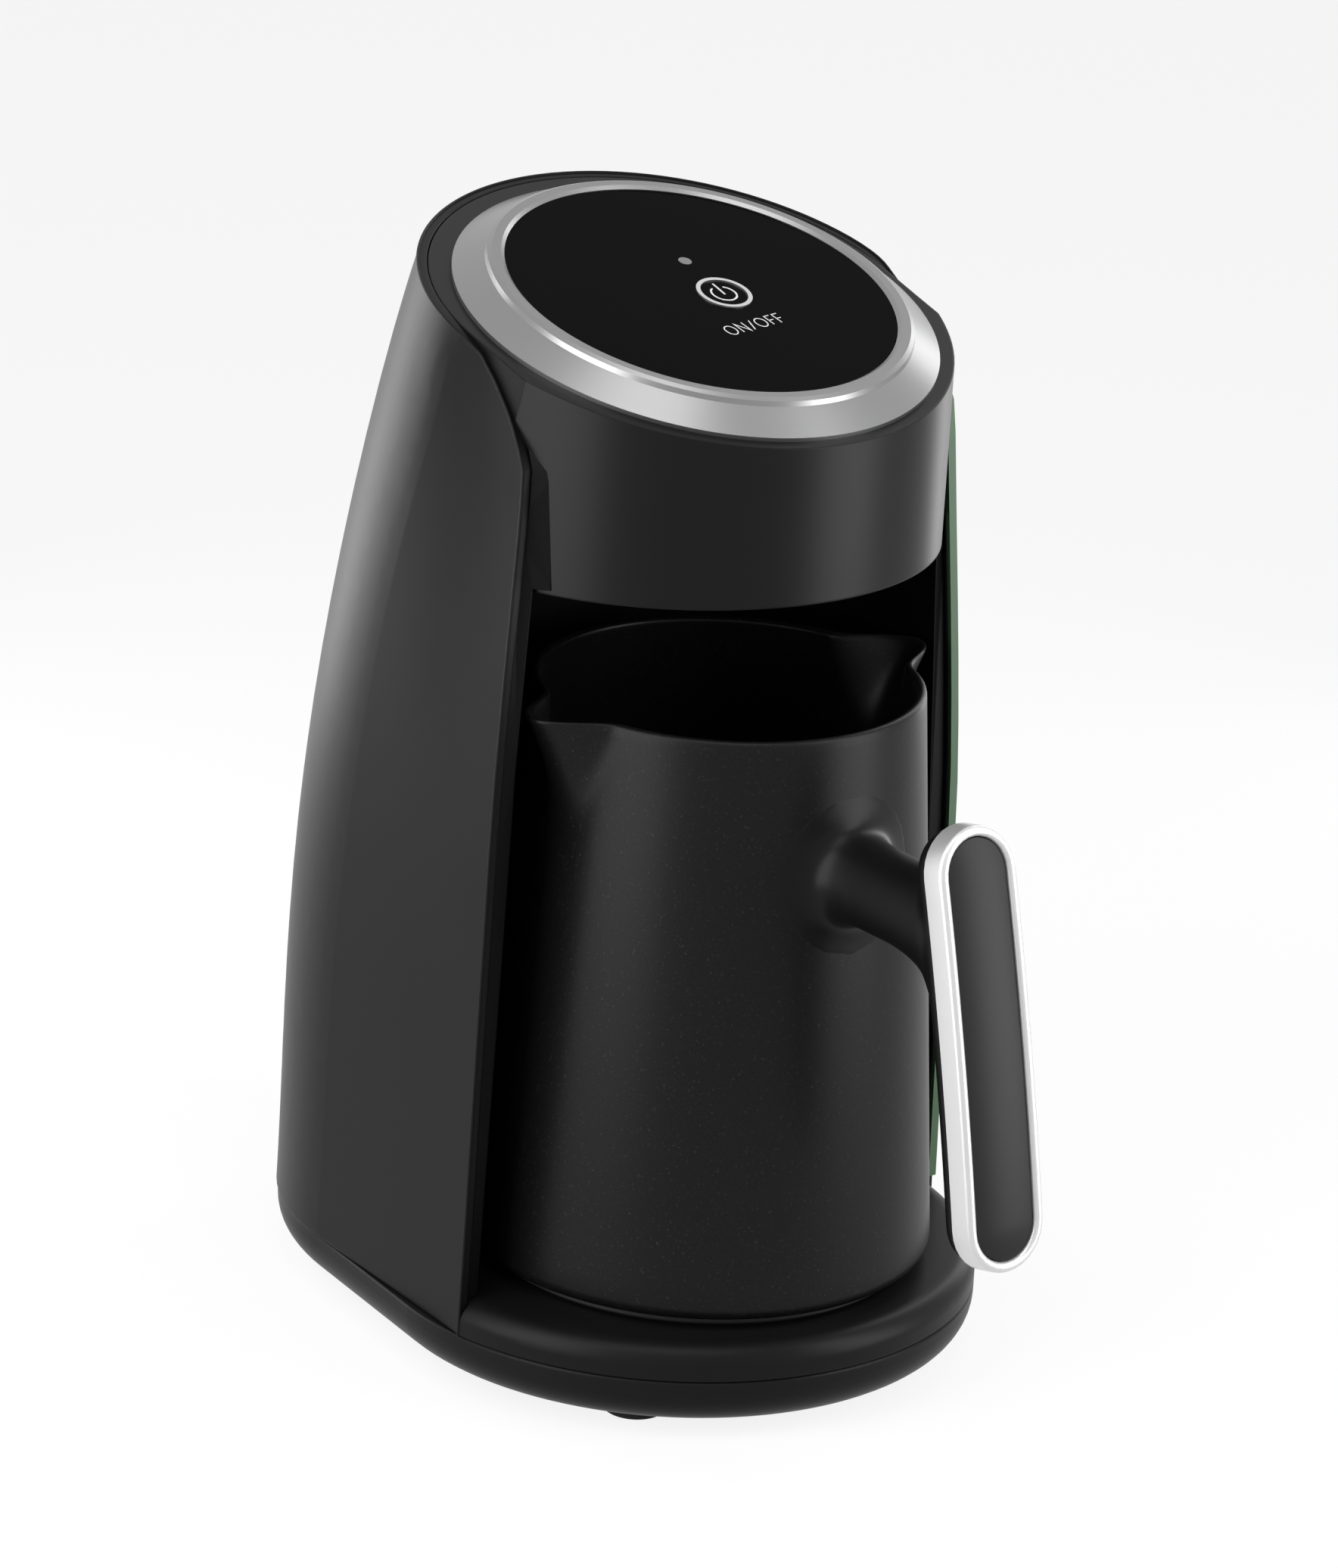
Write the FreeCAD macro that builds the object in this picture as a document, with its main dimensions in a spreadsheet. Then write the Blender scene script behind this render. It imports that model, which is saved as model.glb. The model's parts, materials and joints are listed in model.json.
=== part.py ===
# Electric turkish coffee maker with a lift-off pot.
# Millimetres, +Z up, the open bay faces -Y, +X is the right side seen from the front.
# Every piece is drawn about the upright axis of the pot, and its Placement then moves it
# so that the origin lies on the table under the middle of the whole object.
import FreeCAD, Part
import math
import os
import re
import Sketcher
from FreeCAD import Placement, Rotation, Vector

doc = FreeCAD.newDocument("CoffeeMaker")
sheet = doc.addObject("Spreadsheet::Sheet", "sizes")

# Driving dimensions: name, value, what it is
driving = [
    ("fitGap", 0.3, "gap between neighbouring mouldings"),
    ("closeFit", 0.1, "gap between pieces that are fixed together"),
    ("wall", 2.4, "moulding wall"),
    ("coverWall", 2.0, "wall of the outer cover"),
    # base
    ("footHeight", 2.5, "foot below the base"),
    ("footRadius", 7, "foot"),
    ("footRound", 1, "edge of the foot"),
    ("footSpreadFront", 36, "x of the front feet"),
    ("footSpreadRear", 34, "x of the rear feet"),
    ("footFront", -27, "y of the front feet"),
    ("footRear", 78, "y of the rear feet"),
    ("trayHeight", 11, "lower base"),
    ("trayRound", 8.5, "rounded underside of the lower base"),
    ("deckHeight", 7.5, "upper base"),
    ("deckRound", 4.5, "rounded shoulder of the upper base"),
    ("baseFrontRadius", 65.6, "front arc of the base"),
    ("baseFrontCentre", 7.7, "y of the front arc's centre"),
    ("baseRearRadius", 60.6, "rear arc of the base"),
    ("baseRearCentre", 50.7, "y of the rear arc's centre"),
    ("baseRearWall", 5.6, "rear wall of the upper base, under the cover"),
    ("seamBevel", 0.4, "bevel that makes the seam line"),
    # screws
    ("screwShank", 1.5, "screw radius"),
    ("screwHead", 3, "screw head radius"),
    ("screwHeadHeight", 1.8, "screw head height"),
    ("screwLength", 10, "screw shank length"),
    ("screwBossWall", 3, "wall round a screw"),
    ("screwSeat", 3, "plastic under a screw head"),
    # heater
    ("plateRadius", 46.5, "heater plate"),
    ("plateFlange", 1.4, "thickness of the plate's flange"),
    ("plateBody", 43.4, "radius of the plate below its flange"),
    ("plateDepth", 6.5, "height of the whole plate"),
    ("sealHeight", 0.6, "seal between plate and deck"),
    ("elementRadius", 27, "ring of the heating tube"),
    ("elementTube", 3, "heating tube"),
    ("thermostatRadius", 8, "thermostat"),
    ("thermostatHeight", 5.5, "thermostat"),
    ("fuseRadius", 2, "thermal fuse"),
    ("fuseLength", 11, "thermal fuse"),
    # outer shell, as plan sections at six heights
    ("levelTwo", 66, "height of the second section"),
    ("levelThree", 118, "height of the third section"),
    ("levelFour", 165, "height of the fourth section"),
    ("levelFiveDrop", 7.5, "fifth section below the ring's centre"),
    ("levelSixRise", 29.5, "sixth section above the ring's centre"),
    ("rearOne", 61, "rear arc radius at the first section"),
    ("rearTwo", 60.8, "rear arc radius at the second section"),
    ("rearThree", 60.2, "rear arc radius at the third section"),
    ("rearFour", 59, "rear arc radius at the fourth section"),
    ("rearFive", 57.2, "rear arc radius at the fifth section"),
    ("rearSix", 55.6, "rear arc radius at the sixth section"),
    ("centreOne", 50.7, "y of the rear arc's centre at the first section"),
    ("centreTwo", 50.2, "y of the rear arc's centre at the second section"),
    ("centreThree", 46.4, "y of the rear arc's centre at the third section"),
    ("centreFour", 38.5, "y of the rear arc's centre at the fourth section"),
    ("centreFive", 26.1, "y of the rear arc's centre at the fifth section"),
    ("centreSix", 12.5, "y of the rear arc's centre at the sixth section"),
    ("frontOneInset", 0.5, "front of the first section inside the base"),
    ("frontTwoInset", 1.7, "front of the second section inside the base"),
    ("frontThreeInset", 2.9, "front of the third section inside the base"),
    ("frontFourInset", 5.1, "front of the fourth section inside the base"),
    ("frontFive", 56.6, "half width at the front of the fifth section"),
    ("frontSix", 53.6, "half width at the front of the sixth section"),
    ("shellFrontLine", -8, "y where the sections stop before they are trimmed"),
    ("edgeFront", -2.5, "y of the cover's front edge"),
    ("edgeCorner", 21, "rounded upper corner of the cover's edge"),
    ("edgeInset", 0.8, "how far the frame stands behind the cover's edge"),
    ("trimWidth", 1.1, "coloured edge of the right side"),
    ("trimFoot", 1.2, "start of the coloured edge above the base"),
    ("trimReach", 10, "end of the coloured edge behind the rounded corner"),
    # frame and bay
    ("bayLow", 59.6, "bay radius at the deck"),
    ("bayHigh", 55, "bay radius at the ceiling"),
    ("postDepth", 14, "depth of the frame's posts beside the head"),
    ("bayTop", 175, "height of the bay's ceiling"),
    # head
    ("headRadius", 57.6, "head drum"),
    ("headCentre", 23.4, "y of the drum's axis"),
    ("slant", 15.3, "slant of the top in degrees"),
    ("ringCentre", 18.1, "y of the top ring's centre"),
    ("ringHeight", 222.5, "height of the top ring's centre"),
    ("rimThickness", 3, "thickness of the drum's slanted rim"),
    ("rimOpening", 45, "hole in the slanted rim"),
    ("ceilingThickness", 2.5, "plate under the head"),
    ("ringRadius", 51.7, "top ring"),
    ("ringInner", 41.6, "inside of the top ring"),
    ("ringStep", 45.5, "foot of the raised inner ring"),
    ("ringCone", 4.5, "rise of the ring's cone"),
    ("ringRise", 6.1, "height of the whole ring"),
    ("ringWall", 1.6, "wall of the ring"),
    ("panelTop", 5.3, "panel above the foot of the ring"),
    ("panelThickness", 2.2, "top panel"),
    ("panelGap", 0.1, "gap round the panel"),
    # controls, on the panel: x to the right, f towards the front
    ("buttonAcross", 3.9, "x of the button"),
    ("buttonForward", 2.7, "button forward of the panel's centre"),
    ("buttonRadius", 5, "moving button"),
    ("buttonRingRadius", 6, "ring round the button"),
    ("buttonRingHeight", 0.35, "ring above the panel"),
    ("buttonFit", 0.08, "running gap of the button"),
    ("buttonCap", 1.6, "button's cap"),
    ("stemRadius", 1.8, "button's stem"),
    ("buttonTravel", 0.8, "travel of the button"),
    ("lampAcross", 3.9, "x of the lamp"),
    ("lampForward", -11.2, "lamp forward of the panel's centre"),
    ("lampRadius", 1.45, "lamp"),
    ("lampLength", 5, "lamp"),
    ("boardDrop", 12, "control board below the panel"),
    ("boardWidth", 56, "control board"),
    ("boardDepth", 44, "control board"),
    ("boardThickness", 1.6, "circuit boards"),
    ("switchSide", 6, "push switch"),
    ("switchHeight", 3.6, "push switch"),
    ("pillarRadius", 2.5, "pillars that carry the control board"),
    # power board and inlet
    ("powerWidth", 58, "power board"),
    ("powerHeight", 52, "power board"),
    ("powerPlace", 84, "y of the power board"),
    ("relaySide", 16, "relay on the power board"),
    ("relayHeight", 19, "relay on the power board"),
    ("dropperRadius", 6, "capacitor on the power board"),
    ("dropperLength", 15, "capacitor on the power board"),
    ("inletHeight", 34, "height of the cord's inlet"),
    ("inletFlange", 8, "flange of the inlet"),
    ("inletBody", 5.5, "inlet where it passes the wall"),
    ("inletBore", 3.5, "hole for the cord"),
    ("inletProud", 1.5, "flange outside the cover"),
    ("inletLip", 1.2, "catch inside the cover"),
    ("inletInside", 4, "inlet inside the cover"),
    # foam sensor
    ("sensorAcross", 14, "x of the foam sensor"),
    ("sensorBack", 22, "y of the foam sensor"),
    ("sensorRadius", 6, "foam sensor"),
    ("sensorDrop", 4, "foam sensor below the ceiling"),
    # pot
    ("potBottom", 50.4, "pot radius at the bottom"),
    ("potRim", 41.3, "pot radius at the rim"),
    ("potHeight", 125, "pot"),
    ("potWall", 2, "wall of the pot"),
    ("potFloor", 2.5, "floor of the pot"),
    ("potCorner", 3, "rounded foot of the pot"),
    ("spoutReach", 52.6, "tip of a spout from the axis"),
    ("spoutWidth", 14, "half width of a spout at the rim"),
    ("spoutDrop", 27, "height of a spout"),
    ("spoutRoot", 36, "x where a spout starts, inside the wall"),
    ("spoutTip", 1.6, "half width of a spout's nose"),
    # handle
    ("gripHeight", 95.9, "height of the grip's middle"),
    ("gripReach", 90.3, "grip's front from the pot axis, at its middle"),
    ("gripLean", 13, "lean of the grip in degrees"),
    ("gripHalf", 9.95, "half width of the grip"),
    ("gripLength", 92.2, "length of the grip"),
    ("gripBand", 2.3, "width of the bright band"),
    ("gripDepth", 6, "depth of the bright band"),
    ("gripRound", 1.1, "rounded edges of the bright band"),
    ("inlayDrop", 0.7, "inlay behind the band's face"),
    ("inlayRound", 1.2, "rounded edge of the inlay"),
    ("spineDepth", 4.5, "dark back of the grip"),
    ("spineInset", 1, "back of the grip inside the band's outline"),
    ("spineRound", 2.6, "rounded edge of the back"),
    ("neckHeight", 118, "height of the neck"),
    ("neckRadius", 9, "neck"),
    ("neckFlare", 12.5, "neck where it meets the pot"),
    ("neckFlareLength", 9, "length of the flare"),
    ("neckPad", 40, "where the neck's foot starts, from the axis"),
    ("neckFoot", 3.5, "even part of the neck's foot"),
    ("studRadius", 4.5, "stud welded to the pot"),
    ("studLength", 8, "stud outside the pot's wall"),
    ("handleScrew", 2, "radius of the screw that holds the handle"),
    ("handleScrewHead", 3.6, "radius of its head"),
    ("handleScrewHeadLength", 2.3, "length of its head"),
    ("handleScrewSink", 1.5, "its head below the face of the grip's back"),
]
# Worked out from the driving dimensions
derived = [
    ("frontOne", "=baseFrontRadius - frontOneInset"),
    ("frontTwo", "=baseFrontRadius - frontTwoInset"),
    ("frontThree", "=baseFrontRadius - frontThreeInset"),
    ("frontFour", "=baseFrontRadius - frontFourInset"),
    ("frontReach", "=gripReach + (gripLength / 2 - gripRound) * sin(gripLean)"),
    ("rearReach", "=centreOne + rearOne + inletProud"),
    ("potAxisPlace", "=(frontReach - rearReach) / 2"),
    ("levelFive", "=ringHeight - levelFiveDrop"),
    ("levelSix", "=ringHeight + levelSixRise"),
    ("trayTop", "=footHeight + trayHeight"),
    ("deckTop", "=trayTop + deckHeight"),
    ("deckUnder", "=deckTop - wall"),
    ("plateUnder", "=deckTop + sealHeight + plateFlange - plateDepth"),
    ("potFloorHeight", "=deckTop + sealHeight + plateFlange"),
    ("rimHeight", "=potFloorHeight + potHeight"),
    ("coverFoot", "=trayTop + fitGap"),
    ("coverInside", "=coverWall + fitGap"),
    ("screwTop", "=footHeight + screwHeadHeight + screwLength"),
    ("seatTop", "=footHeight + screwHeadHeight + screwSeat"),
    ("neckSkin", "=potBottom - (potBottom - potRim) * (neckHeight - potFloorHeight) / potHeight"),
    ("studEnd", "=neckSkin + studLength"),
    ("gripBack", "=gripReach - gripDepth / cos(gripLean) - (neckHeight - gripHeight) * tan(gripLean)"),
    ("handleScrewSeat", "=gripBack - handleScrewSink - handleScrewHeadLength"),
]
for row, (name, value, note) in enumerate(driving, start=1):
    sheet.set(f"A{row}", note)
    sheet.set(f"B{row}", str(value))
    sheet.setAlias(f"B{row}", name)
for row, (name, formula) in enumerate(derived, start=len(driving) + 1):
    sheet.set(f"A{row}", name)
    sheet.set(f"B{row}", formula)
    sheet.setAlias(f"B{row}", name)
doc.recompute()

aliases = {name for name, *rest in driving + derived}


def bound(text):
    """Turn the names in an expression into references to the sheet."""
    return re.sub(r"[A-Za-z]\w*", lambda m: "sizes." + m.group() if m.group() in aliases else m.group(), text)


def value(text):
    """The number that an expression gives now."""
    return float(doc.sizes.evalExpression(bound(text)))


def tie(thing, place, text):
    thing.setExpression(place, bound(text))


# Sketches
planes = {"XY": "XY_Plane", "XZ": "XZ_Plane", "YZ": "YZ_Plane"}


def body(label, y="potAxisPlace", z="0", lean=None):
    thing = doc.addObject("PartDesign::Body", label)
    thing.Label = label
    tie(thing, "Placement.Base.y", y)
    tie(thing, "Placement.Base.z", z)
    if lean:
        thing.Placement.Rotation = Rotation(Vector(1, 0, 0), value(lean))
        tie(thing, "Placement.Rotation.Angle", lean)
    return thing


def sketch(owner, name, plane="XY", rise="0"):
    s = owner.newObject("Sketcher::SketchObject", name)
    face = next(f for f in owner.Origin.OriginFeatures if f.Role == planes[plane])
    s.AttachmentSupport = [(face, "")]
    s.MapMode = "FlatFace"
    tie(s, "AttachmentOffset.Base.z", rise)
    return s


def fix(s, kind, first, second=None, text="0"):
    """Set one measured constraint of a sketch and tie it to the sheet."""
    if kind == "Radius":
        index = s.addConstraint(Sketcher.Constraint("Radius", first, value(text)))
    else:
        index = s.addConstraint(Sketcher.Constraint(kind, -1, 1, first, second, value(text)))
    tie(s, f"Constraints[{index}]", text)


def circle(s, radius, x="0", y="0"):
    g = s.addGeometry(Part.Circle(Vector(value(x), value(y), 0), Vector(0, 0, 1), value(radius)))
    fix(s, "Radius", g, text=radius)
    fix(s, "DistanceX", g, 3, x)
    fix(s, "DistanceY", g, 3, y)
    return g


def outline(s, corners):
    """A closed outline of straight lines through corners given as expressions."""
    spots = [Vector(value(x), value(y), 0) for x, y in corners]
    ids = [s.addGeometry(Part.LineSegment(a, b)) for a, b in zip(spots, spots[1:] + spots[:1])]
    for here, after in zip(ids, ids[1:] + ids[:1]):
        s.addConstraint(Sketcher.Constraint("Coincident", here, 2, after, 1))
    for g, (x, y) in zip(ids, corners):
        fix(s, "DistanceX", g, 1, x)
        fix(s, "DistanceY", g, 1, y)
    return ids


def arc(s, x, y, radius, start, end):
    return s.addGeometry(Part.ArcOfCircle(
        Part.Circle(Vector(x, y, 0), Vector(0, 0, 1), radius), start, end))


def meet(s, first, firstEnd, second, secondEnd, smooth=True):
    s.addConstraint(Sketcher.Constraint(
        "Tangent" if smooth else "Coincident", first, firstEnd, second, secondEnd))


def eggPlan(s, less="0", lessRear=None):
    """Front and rear arcs joined by tangent sides: the plan of the base."""
    lessRear = lessRear or less
    r1, r2 = value(f"baseFrontRadius - ({less})"), value(f"baseRearRadius - ({lessRear})")
    c1, c2 = value("baseFrontCentre"), value("baseRearCentre")
    tilt = math.asin((r1 - r2) / (c2 - c1))
    nx, ny = math.cos(tilt), math.sin(tilt)
    front = arc(s, 0, c1, r1, math.pi - tilt, 2 * math.pi + tilt)
    right = s.addGeometry(Part.LineSegment(
        Vector(r1 * nx, c1 + r1 * ny, 0), Vector(r2 * nx, c2 + r2 * ny, 0)))
    rear = arc(s, 0, c2, r2, tilt, math.pi - tilt)
    left = s.addGeometry(Part.LineSegment(
        Vector(-r2 * nx, c2 + r2 * ny, 0), Vector(-r1 * nx, c1 + r1 * ny, 0)))
    meet(s, front, 2, right, 1)
    meet(s, right, 2, rear, 1)
    meet(s, rear, 2, left, 1)
    meet(s, left, 2, front, 1)
    for g, centre, radius in ((front, "baseFrontCentre", f"baseFrontRadius - ({less})"),
                              (rear, "baseRearCentre", f"baseRearRadius - ({lessRear})")):
        fix(s, "DistanceX", g, 3, "0")
        fix(s, "DistanceY", g, 3, centre)
        fix(s, "Radius", g, text=radius)


def shellPlan(s, level, less):
    """One plan section of the outer shell: a rear arc with two sides that open to the front."""
    c, r = value("centre" + level), value(f"rear{level} - ({less})")
    half, front = value(f"front{level} - ({less})"), value("shellFrontLine")
    # the side runs from the corner (half, front) to touch the rear arc
    away, reach = math.hypot(half, c - front), r
    turn = math.atan2(front - c, half) + math.acos(reach / away)
    tx, ty = r * math.cos(turn), c + r * math.sin(turn)
    rear = arc(s, 0, c, r, turn, math.pi - turn)
    left = s.addGeometry(Part.LineSegment(Vector(-tx, ty, 0), Vector(-half, front, 0)))
    base = s.addGeometry(Part.LineSegment(Vector(-half, front, 0), Vector(half, front, 0)))
    right = s.addGeometry(Part.LineSegment(Vector(half, front, 0), Vector(tx, ty, 0)))
    meet(s, rear, 2, left, 1)
    meet(s, right, 2, rear, 1)
    meet(s, left, 2, base, 1, smooth=False)
    meet(s, base, 2, right, 1, smooth=False)
    fix(s, "DistanceX", rear, 3, "0")
    fix(s, "DistanceY", rear, 3, "centre" + level)
    fix(s, "Radius", rear, text=f"rear{level} - ({less})")
    fix(s, "DistanceX", left, 2, f"-(front{level} - ({less}))")
    fix(s, "DistanceY", left, 2, "shellFrontLine")
    fix(s, "DistanceX", right, 1, f"front{level} - ({less})")
    fix(s, "DistanceY", right, 1, "shellFrontLine")


levels = [("One", "coverFoot"), ("Two", "levelTwo"), ("Three", "levelThree"),
          ("Four", "levelFour"), ("Five", "levelFive"), ("Six", "levelSix")]


def shellLoft(owner, name, less, kind="PartDesign::AdditiveLoft", below="0"):
    plans = []
    for level, rise in levels:
        s = sketch(owner, f"{name}{level}", "XY", rise if level != "One" else f"{rise} - ({below})")
        shellPlan(s, level, less)
        plans.append(s)
    doc.recompute()
    loft = owner.newObject(kind, name)
    loft.Profile = plans[0]
    loft.Sections = plans[1:]
    doc.recompute()
    return loft


far = "300"


def edgePlan(s, out, foot, behind=False):
    """The space in front of and above the cover's edge, moved forward by out, or behind it."""
    lean = value("slant") * math.pi / 180
    cornerY = "(edgeFront + edgeCorner)"
    cornerZ = f"(ringHeight + ({cornerY} - ringCentre) * tan(slant) - edgeCorner / cos(slant))"
    radius = f"edgeCorner + ({out})"
    cy, cz, r = value(cornerY), value(cornerZ), value(radius)
    endY, endZ = cy - r * math.sin(lean), cz + r * math.cos(lean)
    lineEnd = f"{cornerZ} + (edgeCorner + ({out})) / cos(slant) + (200 - {cornerY}) * tan(slant)"
    up = s.addGeometry(Part.LineSegment(Vector(cy - r, value(foot), 0), Vector(cy - r, cz, 0)))
    bend = arc(s, cy, cz, r, math.pi / 2 + lean, math.pi)
    along = s.addGeometry(Part.LineSegment(Vector(endY, endZ, 0), Vector(200, value(lineEnd), 0)))
    spots = [("200", foot)] if behind else [("200", far), ("-200", far), ("-200", foot)]
    places = [Vector(200, value(lineEnd), 0)] + [Vector(value(a), value(b), 0) for a, b in spots]
    places.append(Vector(cy - r, value(foot), 0))
    lines = [s.addGeometry(Part.LineSegment(a, b)) for a, b in zip(places, places[1:])]
    meet(s, up, 2, bend, 2)
    meet(s, bend, 1, along, 1)
    chain = [along] + lines + [up]
    for here, after in zip(chain, chain[1:]):
        meet(s, here, 2, after, 1, smooth=False)
    fix(s, "DistanceX", bend, 3, cornerY)
    fix(s, "DistanceY", bend, 3, cornerZ)
    fix(s, "Radius", bend, text=radius)
    fix(s, "DistanceY", up, 1, foot)
    s.addConstraint(Sketcher.Constraint("Vertical", up))
    fix(s, "DistanceX", along, 2, "200")
    fix(s, "DistanceY", along, 2, lineEnd)
    for g, (x, y) in zip(lines, spots):
        fix(s, "DistanceX", g, 2, x)
        fix(s, "DistanceY", g, 2, y)


# Features
def pad(s, length, name, reverse=False, middle=False):
    owner = s.getParentGeoFeatureGroup()
    f = owner.newObject("PartDesign::Pad", name)
    f.Profile = s
    tie(f, "Length", length)
    f.Reversed = reverse
    f.Midplane = middle
    doc.recompute()
    return f


def cut(s, name, length=None, reverse=False, middle=False):
    owner = s.getParentGeoFeatureGroup()
    before = owner.Tip.Shape.Volume
    f = owner.newObject("PartDesign::Pocket", name)
    f.Profile = s
    if length:
        tie(f, "Length", length)
    else:
        f.Type = 1
    f.Reversed = reverse
    f.Midplane = middle
    doc.recompute()
    if not f.Shape.Volume < before - 0.01:
        raise RuntimeError(f"{owner.Label}: {name} cuts nothing")
    return f


def spin(s, name, kind="PartDesign::Revolution", axis="V_Axis", angle=360):
    owner = s.getParentGeoFeatureGroup()
    f = owner.newObject(kind, name)
    f.Profile = s
    f.ReferenceAxis = (s, [axis])
    f.Angle = angle
    doc.recompute()
    return f


def edges(shape, test):
    return [f"Edge{i}" for i, e in enumerate(shape.Edges, start=1) if test(e)]


def fillet(owner, name, radius, test):
    picked = edges(owner.Tip.Shape, test)
    base = owner.Tip
    f = owner.newObject("PartDesign::Fillet", name)
    f.Base = (base, picked)
    tie(f, "Radius", radius)
    doc.recompute()
    return f


def chamfer(owner, name, size, test):
    picked = edges(owner.Tip.Shape, test)
    base = owner.Tip
    f = owner.newObject("PartDesign::Chamfer", name)
    f.Base = (base, picked)
    tie(f, "Size", size)
    doc.recompute()
    return f


def flatAt(height, tolerance=0.01):
    """True for an edge that lies level at a height."""
    return lambda e: (abs(e.BoundBox.ZMin - height) < tolerance
                      and abs(e.BoundBox.ZMax - height) < tolerance)


footSpots = [(side, row) for side in ("-", "") for row in ("Front", "Rear")]


def atFeet(s, radius):
    for side, row in footSpots:
        circle(s, radius, f"{side}footSpread{row}", f"foot{row}")


# Base: the tray below, with four screws under the feet
tray = body("base_tray")
s = sketch(tray, "trayPlan", "XY", "footHeight")
eggPlan(s)
pad(s, "trayHeight", "trayBlock")
fillet(tray, "trayRounding", "trayRound", flatAt(value("footHeight")))
chamfer(tray, "traySeam", "seamBevel", flatAt(value("trayTop")))
s = sketch(tray, "trayHollowPlan", "XY", "trayTop")
eggPlan(s, "wall + trayRound / 3")
cut(s, "trayHollow", "trayHeight - wall")
s = sketch(tray, "traySeatPlan", "XY", "footHeight + wall / 2")
atFeet(s, "screwHead + screwBossWall")
pad(s, "screwHeadHeight + screwSeat - wall / 2", "traySeats")
s = sketch(tray, "trayHeadPlan", "XY", "footHeight")
atFeet(s, "screwHead + fitGap")
cut(s, "trayHeads", "screwHeadHeight", reverse=True)
s = sketch(tray, "trayBorePlan", "XY", "footHeight")
atFeet(s, "screwShank + closeFit")
cut(s, "trayBores", "screwHeadHeight + screwSeat + 1", reverse=True)

# Base: the deck above, inset at the rear where the cover comes down over it
deck = body("base_deck")
s = sketch(deck, "deckPlan", "XY", "trayTop")
eggPlan(s)
pad(s, "deckHeight", "deckBlock")
fillet(deck, "deckShoulder", "deckRound", flatAt(value("deckTop")))
chamfer(deck, "deckSeam", "seamBevel", flatAt(value("trayTop")))
s = sketch(deck, "deckHollowPlan", "XY", "trayTop")
eggPlan(s, "wall + seamBevel", "baseRearWall")
cut(s, "deckHollow", "deckHeight - wall", reverse=True)


def bandPlan(s, less, front):
    """Everything behind the front line and outside the shell's first section."""
    c, r = value("centreOne"), value(f"rearOne - ({less})")
    half = value(f"frontOne - ({less})")
    line, low = value("shellFrontLine"), value(front)
    turn = math.atan2(line - c, half) + math.acos(r / math.hypot(half, c - line))
    tx, ty = r * math.cos(turn), c + r * math.sin(turn)
    inner = half + (tx - half) * (low - line) / (ty - line)
    rear = arc(s, 0, c, r, turn, math.pi - turn)
    left = s.addGeometry(Part.LineSegment(Vector(-tx, ty, 0), Vector(-inner, low, 0)))
    right = s.addGeometry(Part.LineSegment(Vector(inner, low, 0), Vector(tx, ty, 0)))
    guide = s.addGeometry(Part.Point(Vector(half, line, 0)))
    mirror = s.addGeometry(Part.Point(Vector(-half, line, 0)))
    for g in (guide, mirror):
        s.toggleConstruction(g)
    corners = [Vector(-inner, low, 0), Vector(-90, low, 0), Vector(-90, 150, 0),
               Vector(90, 150, 0), Vector(90, low, 0), Vector(inner, low, 0)]
    lines = [s.addGeometry(Part.LineSegment(a, b)) for a, b in zip(corners, corners[1:])]
    meet(s, rear, 2, left, 1)
    meet(s, right, 2, rear, 1)
    chain = [left] + lines + [right]
    for here, after in zip(chain, chain[1:]):
        meet(s, here, 2, after, 1, smooth=False)
    fix(s, "DistanceX", rear, 3, "0")
    fix(s, "DistanceY", rear, 3, "centreOne")
    fix(s, "Radius", rear, text=f"rearOne - ({less})")
    fix(s, "DistanceX", guide, 1, f"frontOne - ({less})")
    fix(s, "DistanceY", guide, 1, "shellFrontLine")
    fix(s, "DistanceX", mirror, 1, f"-(frontOne - ({less}))")
    fix(s, "DistanceY", mirror, 1, "shellFrontLine")
    s.addConstraint(Sketcher.Constraint("PointOnObject", guide, 1, right))
    s.addConstraint(Sketcher.Constraint("PointOnObject", mirror, 1, left))
    for g, x, y in ((lines[0], "-90", front), (lines[1], "-90", "150"),
                    (lines[2], "90", "150"), (lines[3], "90", front)):
        fix(s, "DistanceX", g, 2, x)
        fix(s, "DistanceY", g, 2, y)
    fix(s, "DistanceY", left, 2, front)
    fix(s, "DistanceY", right, 1, front)


s = sketch(deck, "deckBandPlan", "XY", "trayTop")
bandPlan(s, "coverInside", "edgeFront - fitGap")
cut(s, "deckBand", "deckHeight", reverse=True)
s = sketch(deck, "deckBossPlan", "XY", "seatTop")
atFeet(s, "screwShank + screwBossWall")
pad(s, "deckUnder + wall / 2 - seatTop", "deckBosses")
s = sketch(deck, "deckBorePlan", "XY", "seatTop")
atFeet(s, "screwShank + closeFit / 2")
cut(s, "deckBores", "screwTop + 1 - seatTop", reverse=True)
s = sketch(deck, "deckHolePlan", "XY", "deckTop")
circle(s, "plateBody + fitGap")
cut(s, "deckHole", "deckTop - plateUnder + fitGap")

# Feet and the screws that they hide
feet = body("feet")
s = sketch(feet, "feetPlan", "XY", "0")
atFeet(s, "footRadius")
pad(s, "footHeight", "footPads")
fillet(feet, "footRounding", "footRound", flatAt(0))

screws = body("base_screws")
s = sketch(screws, "headPlan", "XY", "footHeight")
atFeet(s, "screwHead")
pad(s, "screwHeadHeight", "screwHeads")
s = sketch(screws, "shankPlan", "XY", "footHeight + screwHeadHeight")
atFeet(s, "screwShank")
pad(s, "screwLength", "screwShanks")

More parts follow.
